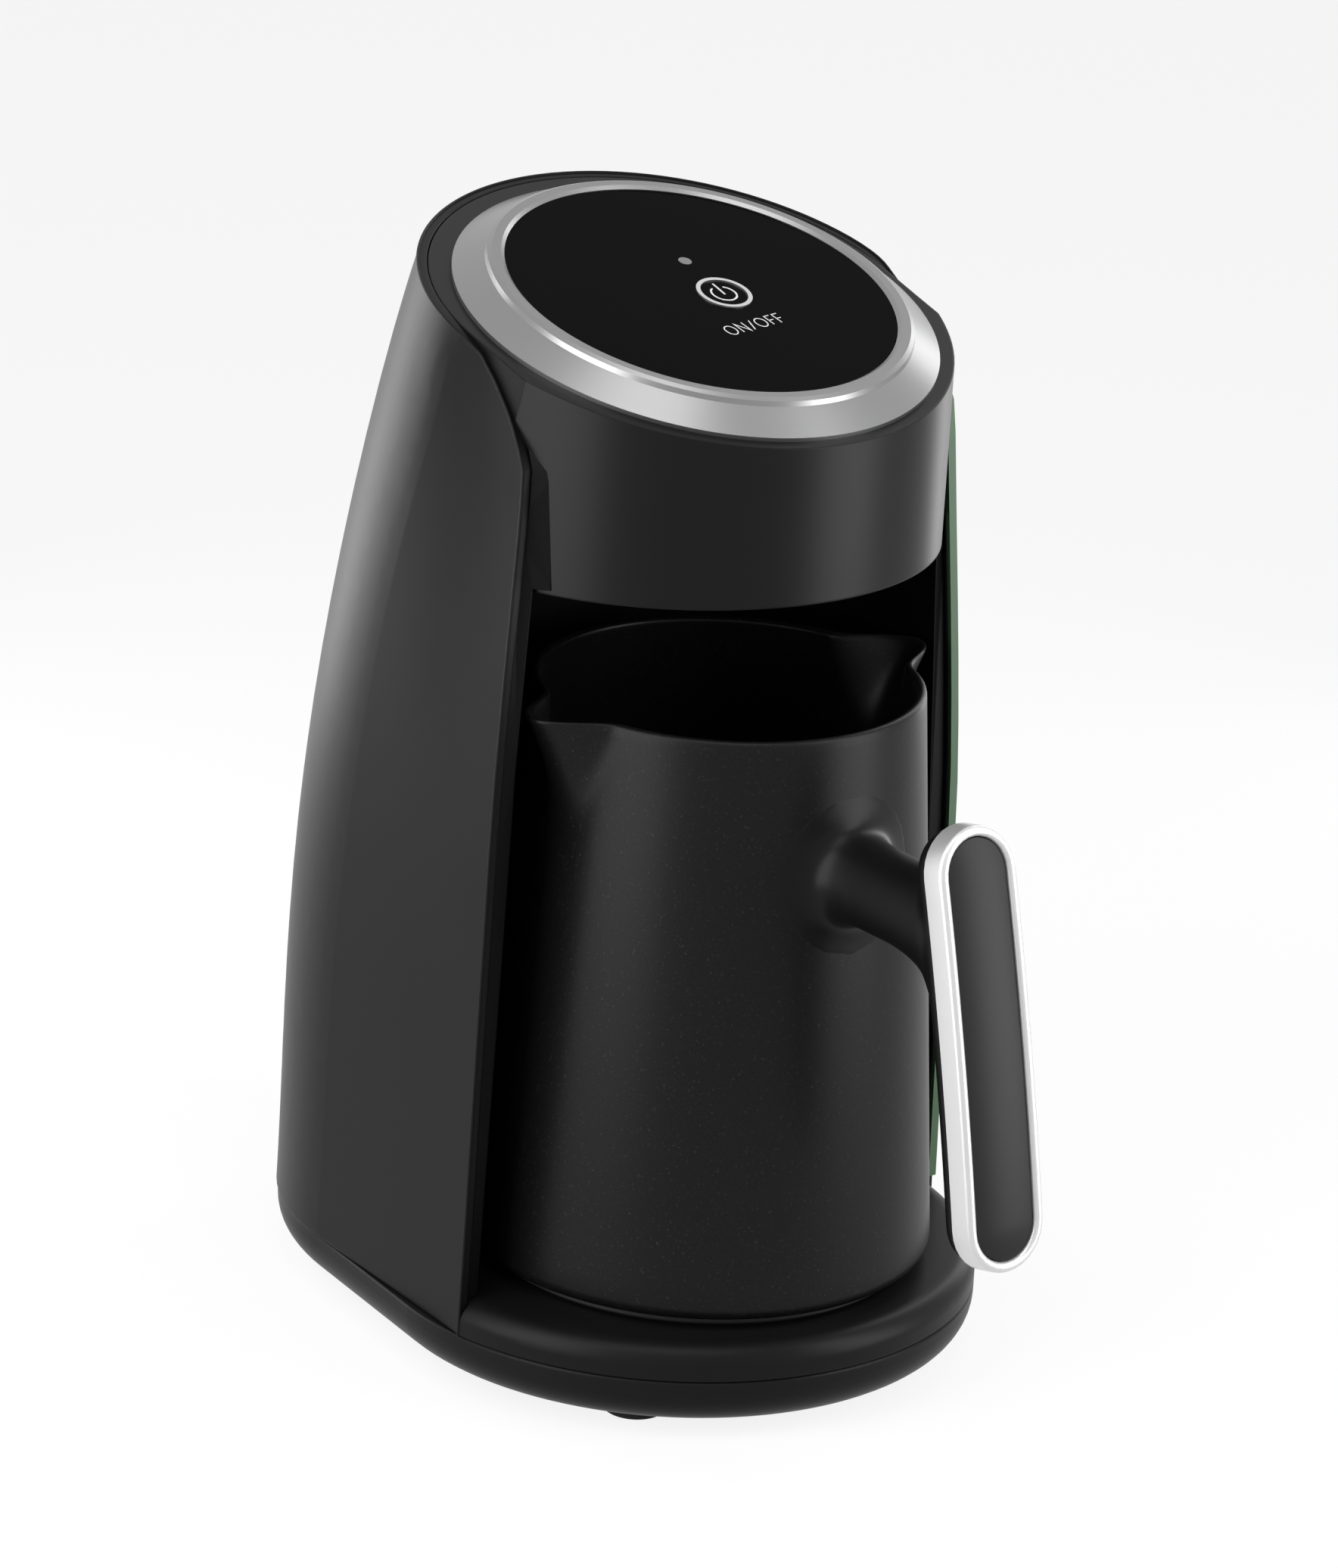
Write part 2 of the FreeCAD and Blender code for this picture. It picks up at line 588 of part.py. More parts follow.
# Heater: plate, seal, heating tube, thermostat and fuse
plate = body("heater_plate")
s = sketch(plate, "plateProfile", "XZ")
outline(s, [("0", "plateUnder"), ("plateBody", "plateUnder"), ("plateBody", "deckTop + sealHeight"),
            ("plateRadius", "deckTop + sealHeight"), ("plateRadius", "potFloorHeight - 0.4"),
            ("plateRadius - 0.4", "potFloorHeight"), ("0", "potFloorHeight")])
spin(s, "plateTurned")

seal = body("plate_seal")
s = sketch(seal, "sealPlan", "XY", "deckTop")
circle(s, "plateRadius - wall / 4")
circle(s, "plateBody + fitGap")
pad(s, "sealHeight", "sealRing")

element = doc.addObject("Part::Torus", "heatingTube")
element.Label = "heating_element"
tie(element, "Radius1", "elementRadius")
tie(element, "Radius2", "elementTube")
element.Angle3 = 320
element.Placement.Rotation = Rotation(Vector(0, 0, 1), 110)
tie(element, "Placement.Base.y", "potAxisPlace")
tie(element, "Placement.Base.z", "plateUnder - elementTube - closeFit")

thermostat = body("thermostat")
s = sketch(thermostat, "thermostatPlan", "XY", "plateUnder")
circle(s, "thermostatRadius")
pad(s, "thermostatHeight", "thermostatCase", reverse=True)
s = sketch(thermostat, "thermostatTabPlan", "XY", "plateUnder")
outline(s, [("-(thermostatRadius + 4)", "-2"), ("thermostatRadius + 4", "-2"),
            ("thermostatRadius + 4", "2"), ("-(thermostatRadius + 4)", "2")])
pad(s, "1.2", "thermostatTabs", reverse=True)

fuse = body("thermal_fuse", y="potAxisPlace - elementRadius / 2 - thermostatRadius / 2 - 1",
            z="plateUnder - fuseRadius - closeFit")
s = sketch(fuse, "fusePlan", "YZ")
circle(s, "fuseRadius")
pad(s, "fuseLength", "fuseCase", middle=True)
s = sketch(fuse, "leadPlan", "YZ")
circle(s, "fuseRadius / 4")
pad(s, "fuseLength * 1.7", "fuseLeads", middle=True)

# Frame: two posts in front of the cover's edge and the tapered wall of the bay
frame = body("bay_frame")
shellLoft(frame, "frameBlock", "coverInside", below="coverFoot - deckTop")
s = sketch(frame, "frameFrontPlan", "YZ")
edgePlan(s, "-edgeInset", "deckTop - 20")
cut(s, "frameFront", middle=True)
s = sketch(frame, "frameRearPlan", "XY", "bayTop")
outline(s, [("-90", "edgeFront + postDepth"), ("90", "edgeFront + postDepth"), ("90", "150"), ("-90", "150")])
cut(s, "frameRear", reverse=True)
s = sketch(frame, "bayBackProfile", "XZ")
outline(s, [("bayLow + wall", "deckTop - 1"), ("150", "deckTop - 1"), ("150", "bayTop"),
            ("bayHigh + wall", "bayTop"), ("bayLow + wall", "deckTop")])
spin(s, "bayBack", "PartDesign::Groove", angle=180)
s = sketch(frame, "bayHollowProfile", "XZ")
outline(s, [("0", "deckTop - 1"), ("bayLow", "deckTop - 1"), ("bayLow", "deckTop"),
            ("bayHigh", "bayTop"), ("bayHigh", "bayTop + 1"), ("0", "bayTop + 1")])
spin(s, "bayHollow", "PartDesign::Groove")
s = sketch(frame, "headSeatPlan", "XY", "bayTop")
circle(s, "headRadius + fitGap", "0", "headCentre")
cut(s, "headSeat", "150", reverse=True)

# Outer cover and the coloured edge of its right side
cover = body("outer_cover")
shellLoft(cover, "coverOuter", "0")
shellLoft(cover, "coverInner", "coverWall", "PartDesign::SubtractiveLoft", below="1")
s = sketch(cover, "coverEdgePlan", "YZ")
edgePlan(s, "0", "coverFoot - 5")
cut(s, "coverEdge", middle=True)
s = sketch(cover, "inletHolePlan", "XZ", "-(centreOne + rearOne / 2)")
circle(s, "inletBody + closeFit", "0", "inletHeight")
cut(s, "inletHole", "rearOne", reverse=False)

trim = body("cover_edge_trim")
shellLoft(trim, "trimOuter", "0")
shellLoft(trim, "trimInner", "coverWall", "PartDesign::SubtractiveLoft", below="1")
s = sketch(trim, "trimFrontPlan", "YZ")
edgePlan(s, "trimWidth", "coverFoot - 5")
cut(s, "trimFront", middle=True)
s = sketch(trim, "trimBackPlan", "YZ")
edgePlan(s, "closeFit", "coverFoot - 5", behind=True)
cut(s, "trimBack", middle=True)
s = sketch(trim, "trimLeftPlan", "YZ")
outline(s, [("-100", "0"), ("200", "0"), ("200", far), ("-100", far)])
cut(s, "trimLeft")
s = sketch(trim, "trimEndPlan", "YZ")
outline(s, [("-100", "0"), ("-100", "deckTop + trimFoot"),
            ("edgeFront + edgeCorner + trimReach", "deckTop + trimFoot"),
            ("edgeFront + edgeCorner + trimReach", far), ("200", far), ("200", "0")])
cut(s, "trimEnds", middle=True)

# Head: a drum with a slanted rim, its ceiling plate and the foam sensor
def cylinder(name, radius, height, y, z):
    c = doc.addObject("Part::Cylinder", name)
    tie(c, "Radius", radius)
    tie(c, "Height", height)
    tie(c, "Placement.Base.y", y)
    tie(c, "Placement.Base.z", z)
    return c


def slantBlock(name, drop):
    """A block whose leaning underside is the slant of the top, lowered by drop."""
    b = doc.addObject("Part::Box", name)
    b.Length, b.Width, b.Height = 200, 300, 150
    b.Placement.Rotation = Rotation(Vector(1, 0, 0), value("slant"))
    tie(b, "Placement.Rotation.Angle", "slant")
    tie(b, "Placement.Base.x", "-100")
    tie(b, "Placement.Base.y", f"potAxisPlace + ringCentre - 150 * cos(slant) + ({drop}) * sin(slant)")
    tie(b, "Placement.Base.z", f"ringHeight - 150 * sin(slant) - ({drop}) * cos(slant)")
    return b


def boolean(kind, name, base, tool):
    b = doc.addObject("Part::" + kind, name)
    b.Base = base
    b.Tool = tool
    return b


def inCover(name, less, thing):
    """Keep what lies inside the shell by less, or in front of the cover's edge."""
    limit = body(name + "Limit")
    shellLoft(limit, name + "Inside", less)
    s = sketch(limit, name + "FrontPlan", "XY", "bayTop - 1")
    outline(s, [("-90", "-150"), ("90", "-150"), ("90", "edgeFront"), ("-90", "edgeFront")])
    pad(s, far, name + "Front")
    return boolean("Common", name, thing, limit)


headY = "potAxisPlace + headCentre"
headDrum = boolean("Cut", "headDrum", cylinder("headOuter", "headRadius", "100", headY, "bayTop"),
                   slantBlock("headSlant", "0"))
headHollow = boolean("Cut", "headHollow", cylinder("headInner", "headRadius - wall", "100", headY, "bayTop - 1"),
                     slantBlock("headSlantInside", "rimThickness"))
headShell = boolean("Cut", "headShell", inCover("headBlock", "coverInside", headDrum),
                    inCover("headVoid", "coverInside + wall", headHollow))
rimHole = cylinder("rimHole", "rimOpening", "30", "potAxisPlace + ringCentre + 15 * sin(slant)",
                   "ringHeight - 15 * cos(slant)")
rimHole.Placement.Rotation = Rotation(Vector(1, 0, 0), value("slant"))
tie(rimHole, "Placement.Rotation.Angle", "slant")
head = boolean("Cut", "headWhole", headShell, rimHole)
head.Label = "head_housing"

ceiling = body("ceilingPlate", y=headY)
s = sketch(ceiling, "ceilingPlan", "XY", "bayTop")
circle(s, "headRadius - wall - closeFit")
pad(s, "ceilingThickness", "ceilingDisc")
s = sketch(ceiling, "ceilingLipPlan", "XY", "bayTop + ceilingThickness")
circle(s, "headRadius - wall - closeFit")
circle(s, "headRadius - wall * 2")
pad(s, "wall * 2", "ceilingLip")
s = sketch(ceiling, "sensorHolePlan", "XY", "bayTop")
circle(s, "sensorRadius + closeFit", "sensorAcross", "sensorBack - headCentre")
cut(s, "sensorHole", "ceilingThickness", reverse=True)
ceilingCut = inCover("ceilingWhole", "coverInside + wall + closeFit", ceiling)
ceilingCut.Label = "head_ceiling"

sensor = body("foam_sensor")
s = sketch(sensor, "sensorPlan", "XY", "bayTop - sensorDrop")
circle(s, "sensorRadius", "sensorAcross", "sensorBack")
pad(s, "sensorDrop + ceilingThickness", "sensorCase")
s = sketch(sensor, "sensorFlangePlan", "XY", "bayTop + ceilingThickness")
circle(s, "sensorRadius + wall", "sensorAcross", "sensorBack")
pad(s, "wall", "sensorFlange")
fillet(sensor, "sensorRounding", "sensorRadius / 3", flatAt(value("bayTop - sensorDrop")))

# Top: ring, panel and controls, all drawn flat and then leaned by the slant
topY, topZ = "potAxisPlace + ringCentre", "ringHeight"


def topBody(label):
    return body(label, y=topY, z=topZ, lean="slant")


ring = topBody("top_ring")
s = sketch(ring, "ringProfile", "XZ")
outline(s, [("ringRadius", "0"), ("ringRadius", "0.9"), ("ringStep", "ringCone"),
            ("ringStep - 0.3", "ringCone + 1.1"), ("ringStep - 1.2", "ringRise"),
            ("ringInner + 0.8", "ringRise"), ("ringInner", "ringRise - 0.6"),
            ("ringInner", "panelTop - panelThickness"), ("ringInner - 2.5", "panelTop - panelThickness"),
            ("ringInner - 2.5", "panelTop - panelThickness - ringWall"),
            ("ringStep - ringWall", "panelTop - panelThickness - ringWall"),
            ("ringRadius - ringWall * 2", "0")])
spin(s, "ringTurned")

panel = topBody("top_panel")
s = sketch(panel, "panelPlan", "XY", "panelTop - panelThickness")
circle(s, "ringInner - panelGap")
pad(s, "panelThickness", "panelDisc")
s = sketch(panel, "panelHolesPlan", "XY", "panelTop")
circle(s, "buttonRingRadius + closeFit", "buttonAcross", "-buttonForward")
circle(s, "lampRadius + closeFit", "lampAcross", "-lampForward")
cut(s, "panelHoles", "panelThickness")

bezel = topBody("button_ring")
s = sketch(bezel, "bezelPlan", "XY", "panelTop - panelThickness")
circle(s, "buttonRingRadius", "buttonAcross", "-buttonForward")
circle(s, "buttonRadius + buttonFit", "buttonAcross", "-buttonForward")
pad(s, "panelThickness + buttonRingHeight", "bezelTube")
s = sketch(bezel, "bezelFlangePlan", "XY", "panelTop - panelThickness - 1")
circle(s, "buttonRingRadius + wall", "buttonAcross", "-buttonForward")
circle(s, "buttonRadius + buttonFit", "buttonAcross", "-buttonForward")
pad(s, "1", "bezelFlange")

button = topBody("power_button")
s = sketch(button, "buttonCapPlan", "XY", "panelTop - buttonCap")
circle(s, "buttonRadius", "buttonAcross", "-buttonForward")
pad(s, "buttonCap", "buttonCapDisc")
fillet(button, "buttonRounding", "0.25", flatAt(value("panelTop")))
s = sketch(button, "buttonStemPlan", "XY", "panelTop - buttonCap")
circle(s, "stemRadius", "buttonAcross", "-buttonForward")
pad(s, "boardDrop - buttonCap - switchHeight - buttonTravel - closeFit", "buttonStem", reverse=True)

lamp = topBody("lamp_lens")
s = sketch(lamp, "lampPlan", "XY", "panelTop")
circle(s, "lampRadius", "lampAcross", "-lampForward")
pad(s, "lampLength", "lampRod", reverse=True)

board = topBody("control_board")
s = sketch(board, "boardPlan", "XY", "panelTop - boardDrop")
outline(s, [("-boardWidth / 2", "-boardDepth / 2"), ("boardWidth / 2", "-boardDepth / 2"),
            ("boardWidth / 2", "boardDepth / 2"), ("-boardWidth / 2", "boardDepth / 2")])
pad(s, "boardThickness", "boardPlate", reverse=True)
s = sketch(board, "pillarPlan", "XY", "panelTop - boardDrop")
for across in ("-boardWidth / 2 + pillarRadius", "boardWidth / 2 - pillarRadius"):
    for along in ("-boardDepth / 2 + pillarRadius", "boardDepth / 2 - pillarRadius"):
        circle(s, "pillarRadius", across, along)
pad(s, "boardDrop - panelThickness - closeFit", "pillars")

switch = topBody("push_switch")
s = sketch(switch, "switchPlan", "XY", "panelTop - boardDrop")
across, along = "buttonAcross", "-buttonForward"
outline(s, [(f"{across} - switchSide / 2", f"{along} - switchSide / 2"),
            (f"{across} + switchSide / 2", f"{along} - switchSide / 2"),
            (f"{across} + switchSide / 2", f"{along} + switchSide / 2"),
            (f"{across} - switchSide / 2", f"{along} + switchSide / 2")])
pad(s, "switchHeight", "switchCase")

# Power board in the column behind the bay, and the cord's inlet
power = body("power_board", y="potAxisPlace + powerPlace")
s = sketch(power, "powerPlan", "XZ")
outline(s, [("-powerWidth / 2", "deckTop"), ("powerWidth / 2", "deckTop"),
            ("powerWidth / 2", "deckTop + powerHeight"), ("-powerWidth / 2", "deckTop + powerHeight")])
pad(s, "boardThickness", "powerPlate", reverse=True)
s = sketch(power, "relayPlan", "XZ")
outline(s, [("-powerWidth / 4 - relaySide / 2", "deckTop + relaySide"),
            ("-powerWidth / 4 + relaySide / 2", "deckTop + relaySide"),
            ("-powerWidth / 4 + relaySide / 2", "deckTop + relaySide + relayHeight"),
            ("-powerWidth / 4 - relaySide / 2", "deckTop + relaySide + relayHeight")])
pad(s, "relaySide", "relay")
s = sketch(power, "dropperPlan", "XZ")
circle(s, "dropperRadius", "powerWidth / 4", "deckTop + relaySide + dropperRadius")
pad(s, "dropperLength", "dropper")



def coverRear(height):
    """How far the cover's outside reaches behind the pot's axis at a height."""
    ray = Part.makeLine(Vector(0, 0, height), Vector(0, 400, height))
    return doc.coverOuter.Shape.common(ray).BoundBox.YMax


inletPlace = max(coverRear(value(f"inletHeight {sign} inletFlange")) for sign in "+-")
inlet = body("cord_inlet", y=f"potAxisPlace + {inletPlace}", z="inletHeight")
s = sketch(inlet, "inletProfile", "YZ")
outline(s, [("-(coverWall + inletInside)", "inletBore"), ("inletProud", "inletBore"),
            ("inletProud", "inletFlange - 0.5"), ("inletProud - 0.5", "inletFlange"),
            ("closeFit", "inletFlange"), ("closeFit", "inletBody"), ("-(coverWall + inletLip)", "inletBody"),
            ("-(coverWall + inletLip)", "inletBody + inletLip"),
            ("-(coverWall + inletInside)", "inletBody + inletLip / 3")])
spin(s, "inletTurned", axis="H_Axis")

# Pot: a tapered vessel with two spouts
pot = body("pot_body", z="potFloorHeight")
s = sketch(pot, "potProfile", "XZ")
outline(s, [("0", "0"), ("potBottom", "0"), ("potRim", "potHeight"), ("0", "potHeight")])
spin(s, "potBlock")
fillet(pot, "potFoot", "potCorner", flatAt(value("0")))


def spoutPlan(s, less, grow):
    """The plan of one spout: narrow low down, wide at the rim."""
    root = "spoutRoot"
    half = f"(spoutWidth * ({grow}) - ({less}) * 1.2)"
    tip = f"(potRim + (potBottom - potRim) * (1 - ({grow})) * spoutDrop / potHeight"
    tip += f" - 0.5 + (spoutReach - potRim + 0.5) * ({grow}) - ({less}))"
    nose = f"(spoutTip * ({grow}) + 0.15)"
    outline(s, [(root, f"-{half}"), (tip, f"-{nose}"), (tip, nose), (root, half)])


def spout(name, less, kind, extra):
    top = sketch(pot, name + "Top", "XY", f"potHeight + ({extra})")
    spoutPlan(top, less, "1")
    low = sketch(pot, name + "Low", "XY", "potHeight - spoutDrop")
    spoutPlan(low, less, "0.25")
    doc.recompute()
    loft = pot.newObject(kind, name)
    loft.Profile = top
    loft.Sections = [low]
    loft.Ruled = True
    doc.recompute()
    twin = pot.newObject("PartDesign::Mirrored", name + "Pair")
    twin.Originals = [loft]
    twin.MirrorPlane = (next(f for f in pot.Origin.OriginFeatures if f.Role == "YZ_Plane"), [""])
    pot.Tip = twin
    doc.recompute()


spout("spout", "0", "PartDesign::AdditiveLoft", "0")
s = sketch(pot, "potHollowProfile", "XZ")
outline(s, [("0", "potFloor"), ("potBottom - potWall - potCorner / 2", "potFloor"),
            ("potBottom - potWall - (potBottom - potRim) * (potFloor + potCorner / 2) / potHeight",
             "potFloor + potCorner / 2"),
            ("potRim - potWall", "potHeight"), ("potRim - potWall", "potHeight + 1"), ("0", "potHeight + 1")])
spin(s, "potHollow", "PartDesign::Groove")
spout("spoutHollow", "potWall", "PartDesign::SubtractiveLoft", "0.01")
s = sketch(pot, "studPlan", "XZ", "neckSkin - potWall / 2")
circle(s, "studRadius", "0", "neckHeight - potFloorHeight")
pad(s, "studLength + potWall / 2", "stud")
s = sketch(pot, "studBorePlan", "XZ", "studEnd")
circle(s, "handleScrew + closeFit / 2", "0", "neckHeight - potFloorHeight")
cut(s, "studBoreHole", "studLength * 0.8")

# Handle: bright band, inlay, dark back with its neck, and a screw
gripPlaceY = "potAxisPlace - gripReach"


def gripBody(label):
    return body(label, y=gripPlaceY, z="gripHeight", lean="-gripLean")


def slotPlan(s, half, length):
    """An upright slot shape about the middle of the grip."""
    r, reach = value(half), value(f"({length}) / 2 - ({half})")
    top = arc(s, 0, reach, r, 0, math.pi)
    low = arc(s, 0, -reach, r, math.pi, 2 * math.pi)
    left = s.addGeometry(Part.LineSegment(Vector(-r, reach, 0), Vector(-r, -reach, 0)))
    right = s.addGeometry(Part.LineSegment(Vector(r, -reach, 0), Vector(r, reach, 0)))
    meet(s, top, 2, left, 1)
    meet(s, left, 2, low, 1)
    meet(s, low, 2, right, 1)
    meet(s, right, 2, top, 1)
    fix(s, "Radius", top, text=half)
    for g, sign in ((top, ""), (low, "-")):
        fix(s, "DistanceX", g, 3, "0")
        fix(s, "DistanceY", g, 3, f"{sign}(({length}) / 2 - ({half}))")


band = gripBody("handle_band")
s = sketch(band, "bandOutline", "XZ")
slotPlan(s, "gripHalf", "gripLength")
pad(s, "gripDepth", "bandBlock", reverse=True)
s = sketch(band, "bandOpening", "XZ")
slotPlan(s, "gripHalf - gripBand", "gripLength - gripBand * 2")
cut(s, "bandHole", "gripDepth", reverse=False)
fillet(band, "bandRounding", "gripRound", lambda e: abs(e.BoundBox.YMax - e.BoundBox.YMin) < 0.01)

inlay = gripBody("handle_inlay")
s = sketch(inlay, "inlayOutline", "XZ", "-inlayDrop")
slotPlan(s, "gripHalf - gripBand - closeFit", "gripLength - (gripBand + closeFit) * 2")
pad(s, "gripDepth - inlayDrop", "inlayBlock", reverse=True)
fillet(inlay, "inlayRounding", "inlayRound", lambda e: abs(e.BoundBox.YMax - value("inlayDrop")) < 0.01
       and abs(e.BoundBox.YMin - value("inlayDrop")) < 0.01)

spine = gripBody("spine")
s = sketch(spine, "spineOutline", "XZ", "-gripDepth")
slotPlan(s, "gripHalf - spineInset", "gripLength - spineInset * 2")
pad(s, "spineDepth", "spineBlock", reverse=True)
spineBack = value("gripDepth + spineDepth")
fillet(spine, "spineRounding", "spineRound", lambda e: abs(e.BoundBox.YMax - spineBack) < 0.01
       and abs(e.BoundBox.YMin - spineBack) < 0.01)

neck = body("neck", z="neckHeight")
s = sketch(neck, "neckProfile", "YZ")
flareStart = "neckPad + neckFoot"
outline(s, [("-neckPad", "0"), ("-neckPad", "neckFlare + 1.5"), (f"-({flareStart})", "neckFlare"),
            (f"-({flareStart} + neckFlareLength * 0.3)", "neckRadius + (neckFlare - neckRadius) * 0.38"),
            (f"-({flareStart} + neckFlareLength * 0.65)", "neckRadius + (neckFlare - neckRadius) * 0.1"),
            (f"-({flareStart} + neckFlareLength)", "neckRadius"),
            ("-(gripBack - spineDepth / 2)", "neckRadius"), ("-(gripBack - spineDepth / 2)", "0")])
spin(s, "neckTurned", axis="H_Axis")

potSkin = doc.addObject("Part::Cone", "potSkin")
tie(potSkin, "Radius1", "potBottom + closeFit / 2")
tie(potSkin, "Radius2", "potRim + closeFit / 2")
tie(potSkin, "Height", "potHeight")
tie(potSkin, "Placement.Base.y", "potAxisPlace")
tie(potSkin, "Placement.Base.z", "potFloorHeight")
handle = boolean("Cut", "handleCore", boolean("Fuse", "handleBlock", spine, neck), potSkin)


def lying(name, radius, start, end):
    """A cylinder along the neck's axis, between two distances from the pot's axis."""
    c = cylinder(name, radius, f"({end}) - ({start})", f"potAxisPlace - ({start})", "neckHeight")
    c.Placement.Rotation = Rotation(Vector(1, 0, 0), 90)
    return c


bores = [("studBore", "studRadius + closeFit / 2", "neckPad - 5", "studEnd + closeFit"),
         ("screwBore", "handleScrew + closeFit", "neckPad", "gripReach"),
         ("headBore", "handleScrewHead + closeFit", "handleScrewSeat", "gripReach")]
for name, radius, start, end in bores:
    handle = boolean("Cut", name + "Cut", handle, lying(name, radius, start, end))
handle.Label = "handle_core"

handleScrew = boolean("Fuse", "handleScrewWhole",
                      lying("handleShank", "handleScrew", "studEnd - studLength * 0.7", "handleScrewSeat"),
                      lying("handleHead", "handleScrewHead", "handleScrewSeat",
                            "handleScrewSeat + handleScrewHeadLength"))
handleScrew.Label = "handle_screw"

keep = ["base_tray", "base_deck", "feet", "base_screws", "heater_plate", "plate_seal", "heating_element",
        "thermostat", "thermal_fuse", "bay_frame", "outer_cover", "cover_edge_trim", "head_housing", "head_ceiling",
        "foam_sensor", "top_ring", "top_panel", "button_ring", "power_button", "lamp_lens",
        "control_board", "push_switch", "power_board", "cord_inlet", "pot_body", "handle_band",
        "handle_inlay", "handle_core", "handle_screw"]

doc.recompute()
for thing in doc.Objects:
    if "Invalid" in thing.State or "Error" in thing.State:
        raise RuntimeError(f"{thing.Label} is {thing.State}")

os.makedirs("parts", exist_ok=True)
for label in keep:
    piece = doc.getObjectsByLabel(label)[0]
    shape = piece.Shape
    if shape.isNull() or not shape.isValid():
        raise RuntimeError(f"{label} has no valid shape")
    shape.exportStep(f"parts/{label}.step")
    box = shape.optimalBoundingBox()
    print(label, len(shape.Solids), round(shape.Volume), [round(v, 1) for v in (
        box.XMin, box.XMax, box.YMin, box.YMax, box.ZMin, box.ZMax)])
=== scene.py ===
# Electric turkish coffee maker: looks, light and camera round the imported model.
import json
import math

import bmesh
import bpy
from mathutils import Matrix, Vector


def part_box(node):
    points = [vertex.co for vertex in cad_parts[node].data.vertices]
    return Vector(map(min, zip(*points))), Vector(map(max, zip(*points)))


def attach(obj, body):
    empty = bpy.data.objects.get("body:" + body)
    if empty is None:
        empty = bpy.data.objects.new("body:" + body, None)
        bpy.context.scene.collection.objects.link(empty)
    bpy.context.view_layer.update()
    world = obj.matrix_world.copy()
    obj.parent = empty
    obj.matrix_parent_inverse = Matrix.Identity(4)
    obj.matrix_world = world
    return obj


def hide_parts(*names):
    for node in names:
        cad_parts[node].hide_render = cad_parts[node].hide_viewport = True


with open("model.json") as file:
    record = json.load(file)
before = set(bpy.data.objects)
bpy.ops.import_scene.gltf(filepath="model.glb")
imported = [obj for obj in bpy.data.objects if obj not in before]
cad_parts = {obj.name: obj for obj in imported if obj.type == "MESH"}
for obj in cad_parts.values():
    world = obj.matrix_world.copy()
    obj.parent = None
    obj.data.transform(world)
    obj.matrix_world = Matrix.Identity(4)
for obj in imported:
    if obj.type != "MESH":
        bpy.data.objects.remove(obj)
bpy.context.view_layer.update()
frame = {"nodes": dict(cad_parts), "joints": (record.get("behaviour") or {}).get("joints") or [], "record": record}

mm = 0.001
weldWithin = 0.001 * mm
bevelSamples = 6
scene = bpy.context.scene


# Places read from the frame
def middle(node):
    low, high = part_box(node)
    return (low + high) / 2


pressJoint = next(j for j in frame["joints"] if j["name"] == "button_press")
panelUp = -Vector(pressJoint["axis"])
potAxis = middle("heater_plate")
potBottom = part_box("pot_body")[0].z / mm
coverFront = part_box("outer_cover")[0].y / mm


# Materials
class Wire:  # an output socket that can be added, subtracted and multiplied
    def __init__(self, finish, socket):
        self.finish, self.socket = finish, socket

    def maths(self, operation, first, second):
        return self.finish.add("ShaderNodeMath", {"operation": operation}, {0: first, 1: second})

    def __add__(self, other):
        return self.maths("ADD", self, other)

    def __radd__(self, other):
        return self.maths("ADD", other, self)

    def __sub__(self, other):
        return self.maths("SUBTRACT", self, other)

    def __rsub__(self, other):
        return self.maths("SUBTRACT", other, self)

    def __mul__(self, other):
        return self.maths("MULTIPLY", self, other)

    def __rmul__(self, other):
        return self.maths("MULTIPLY", other, self)


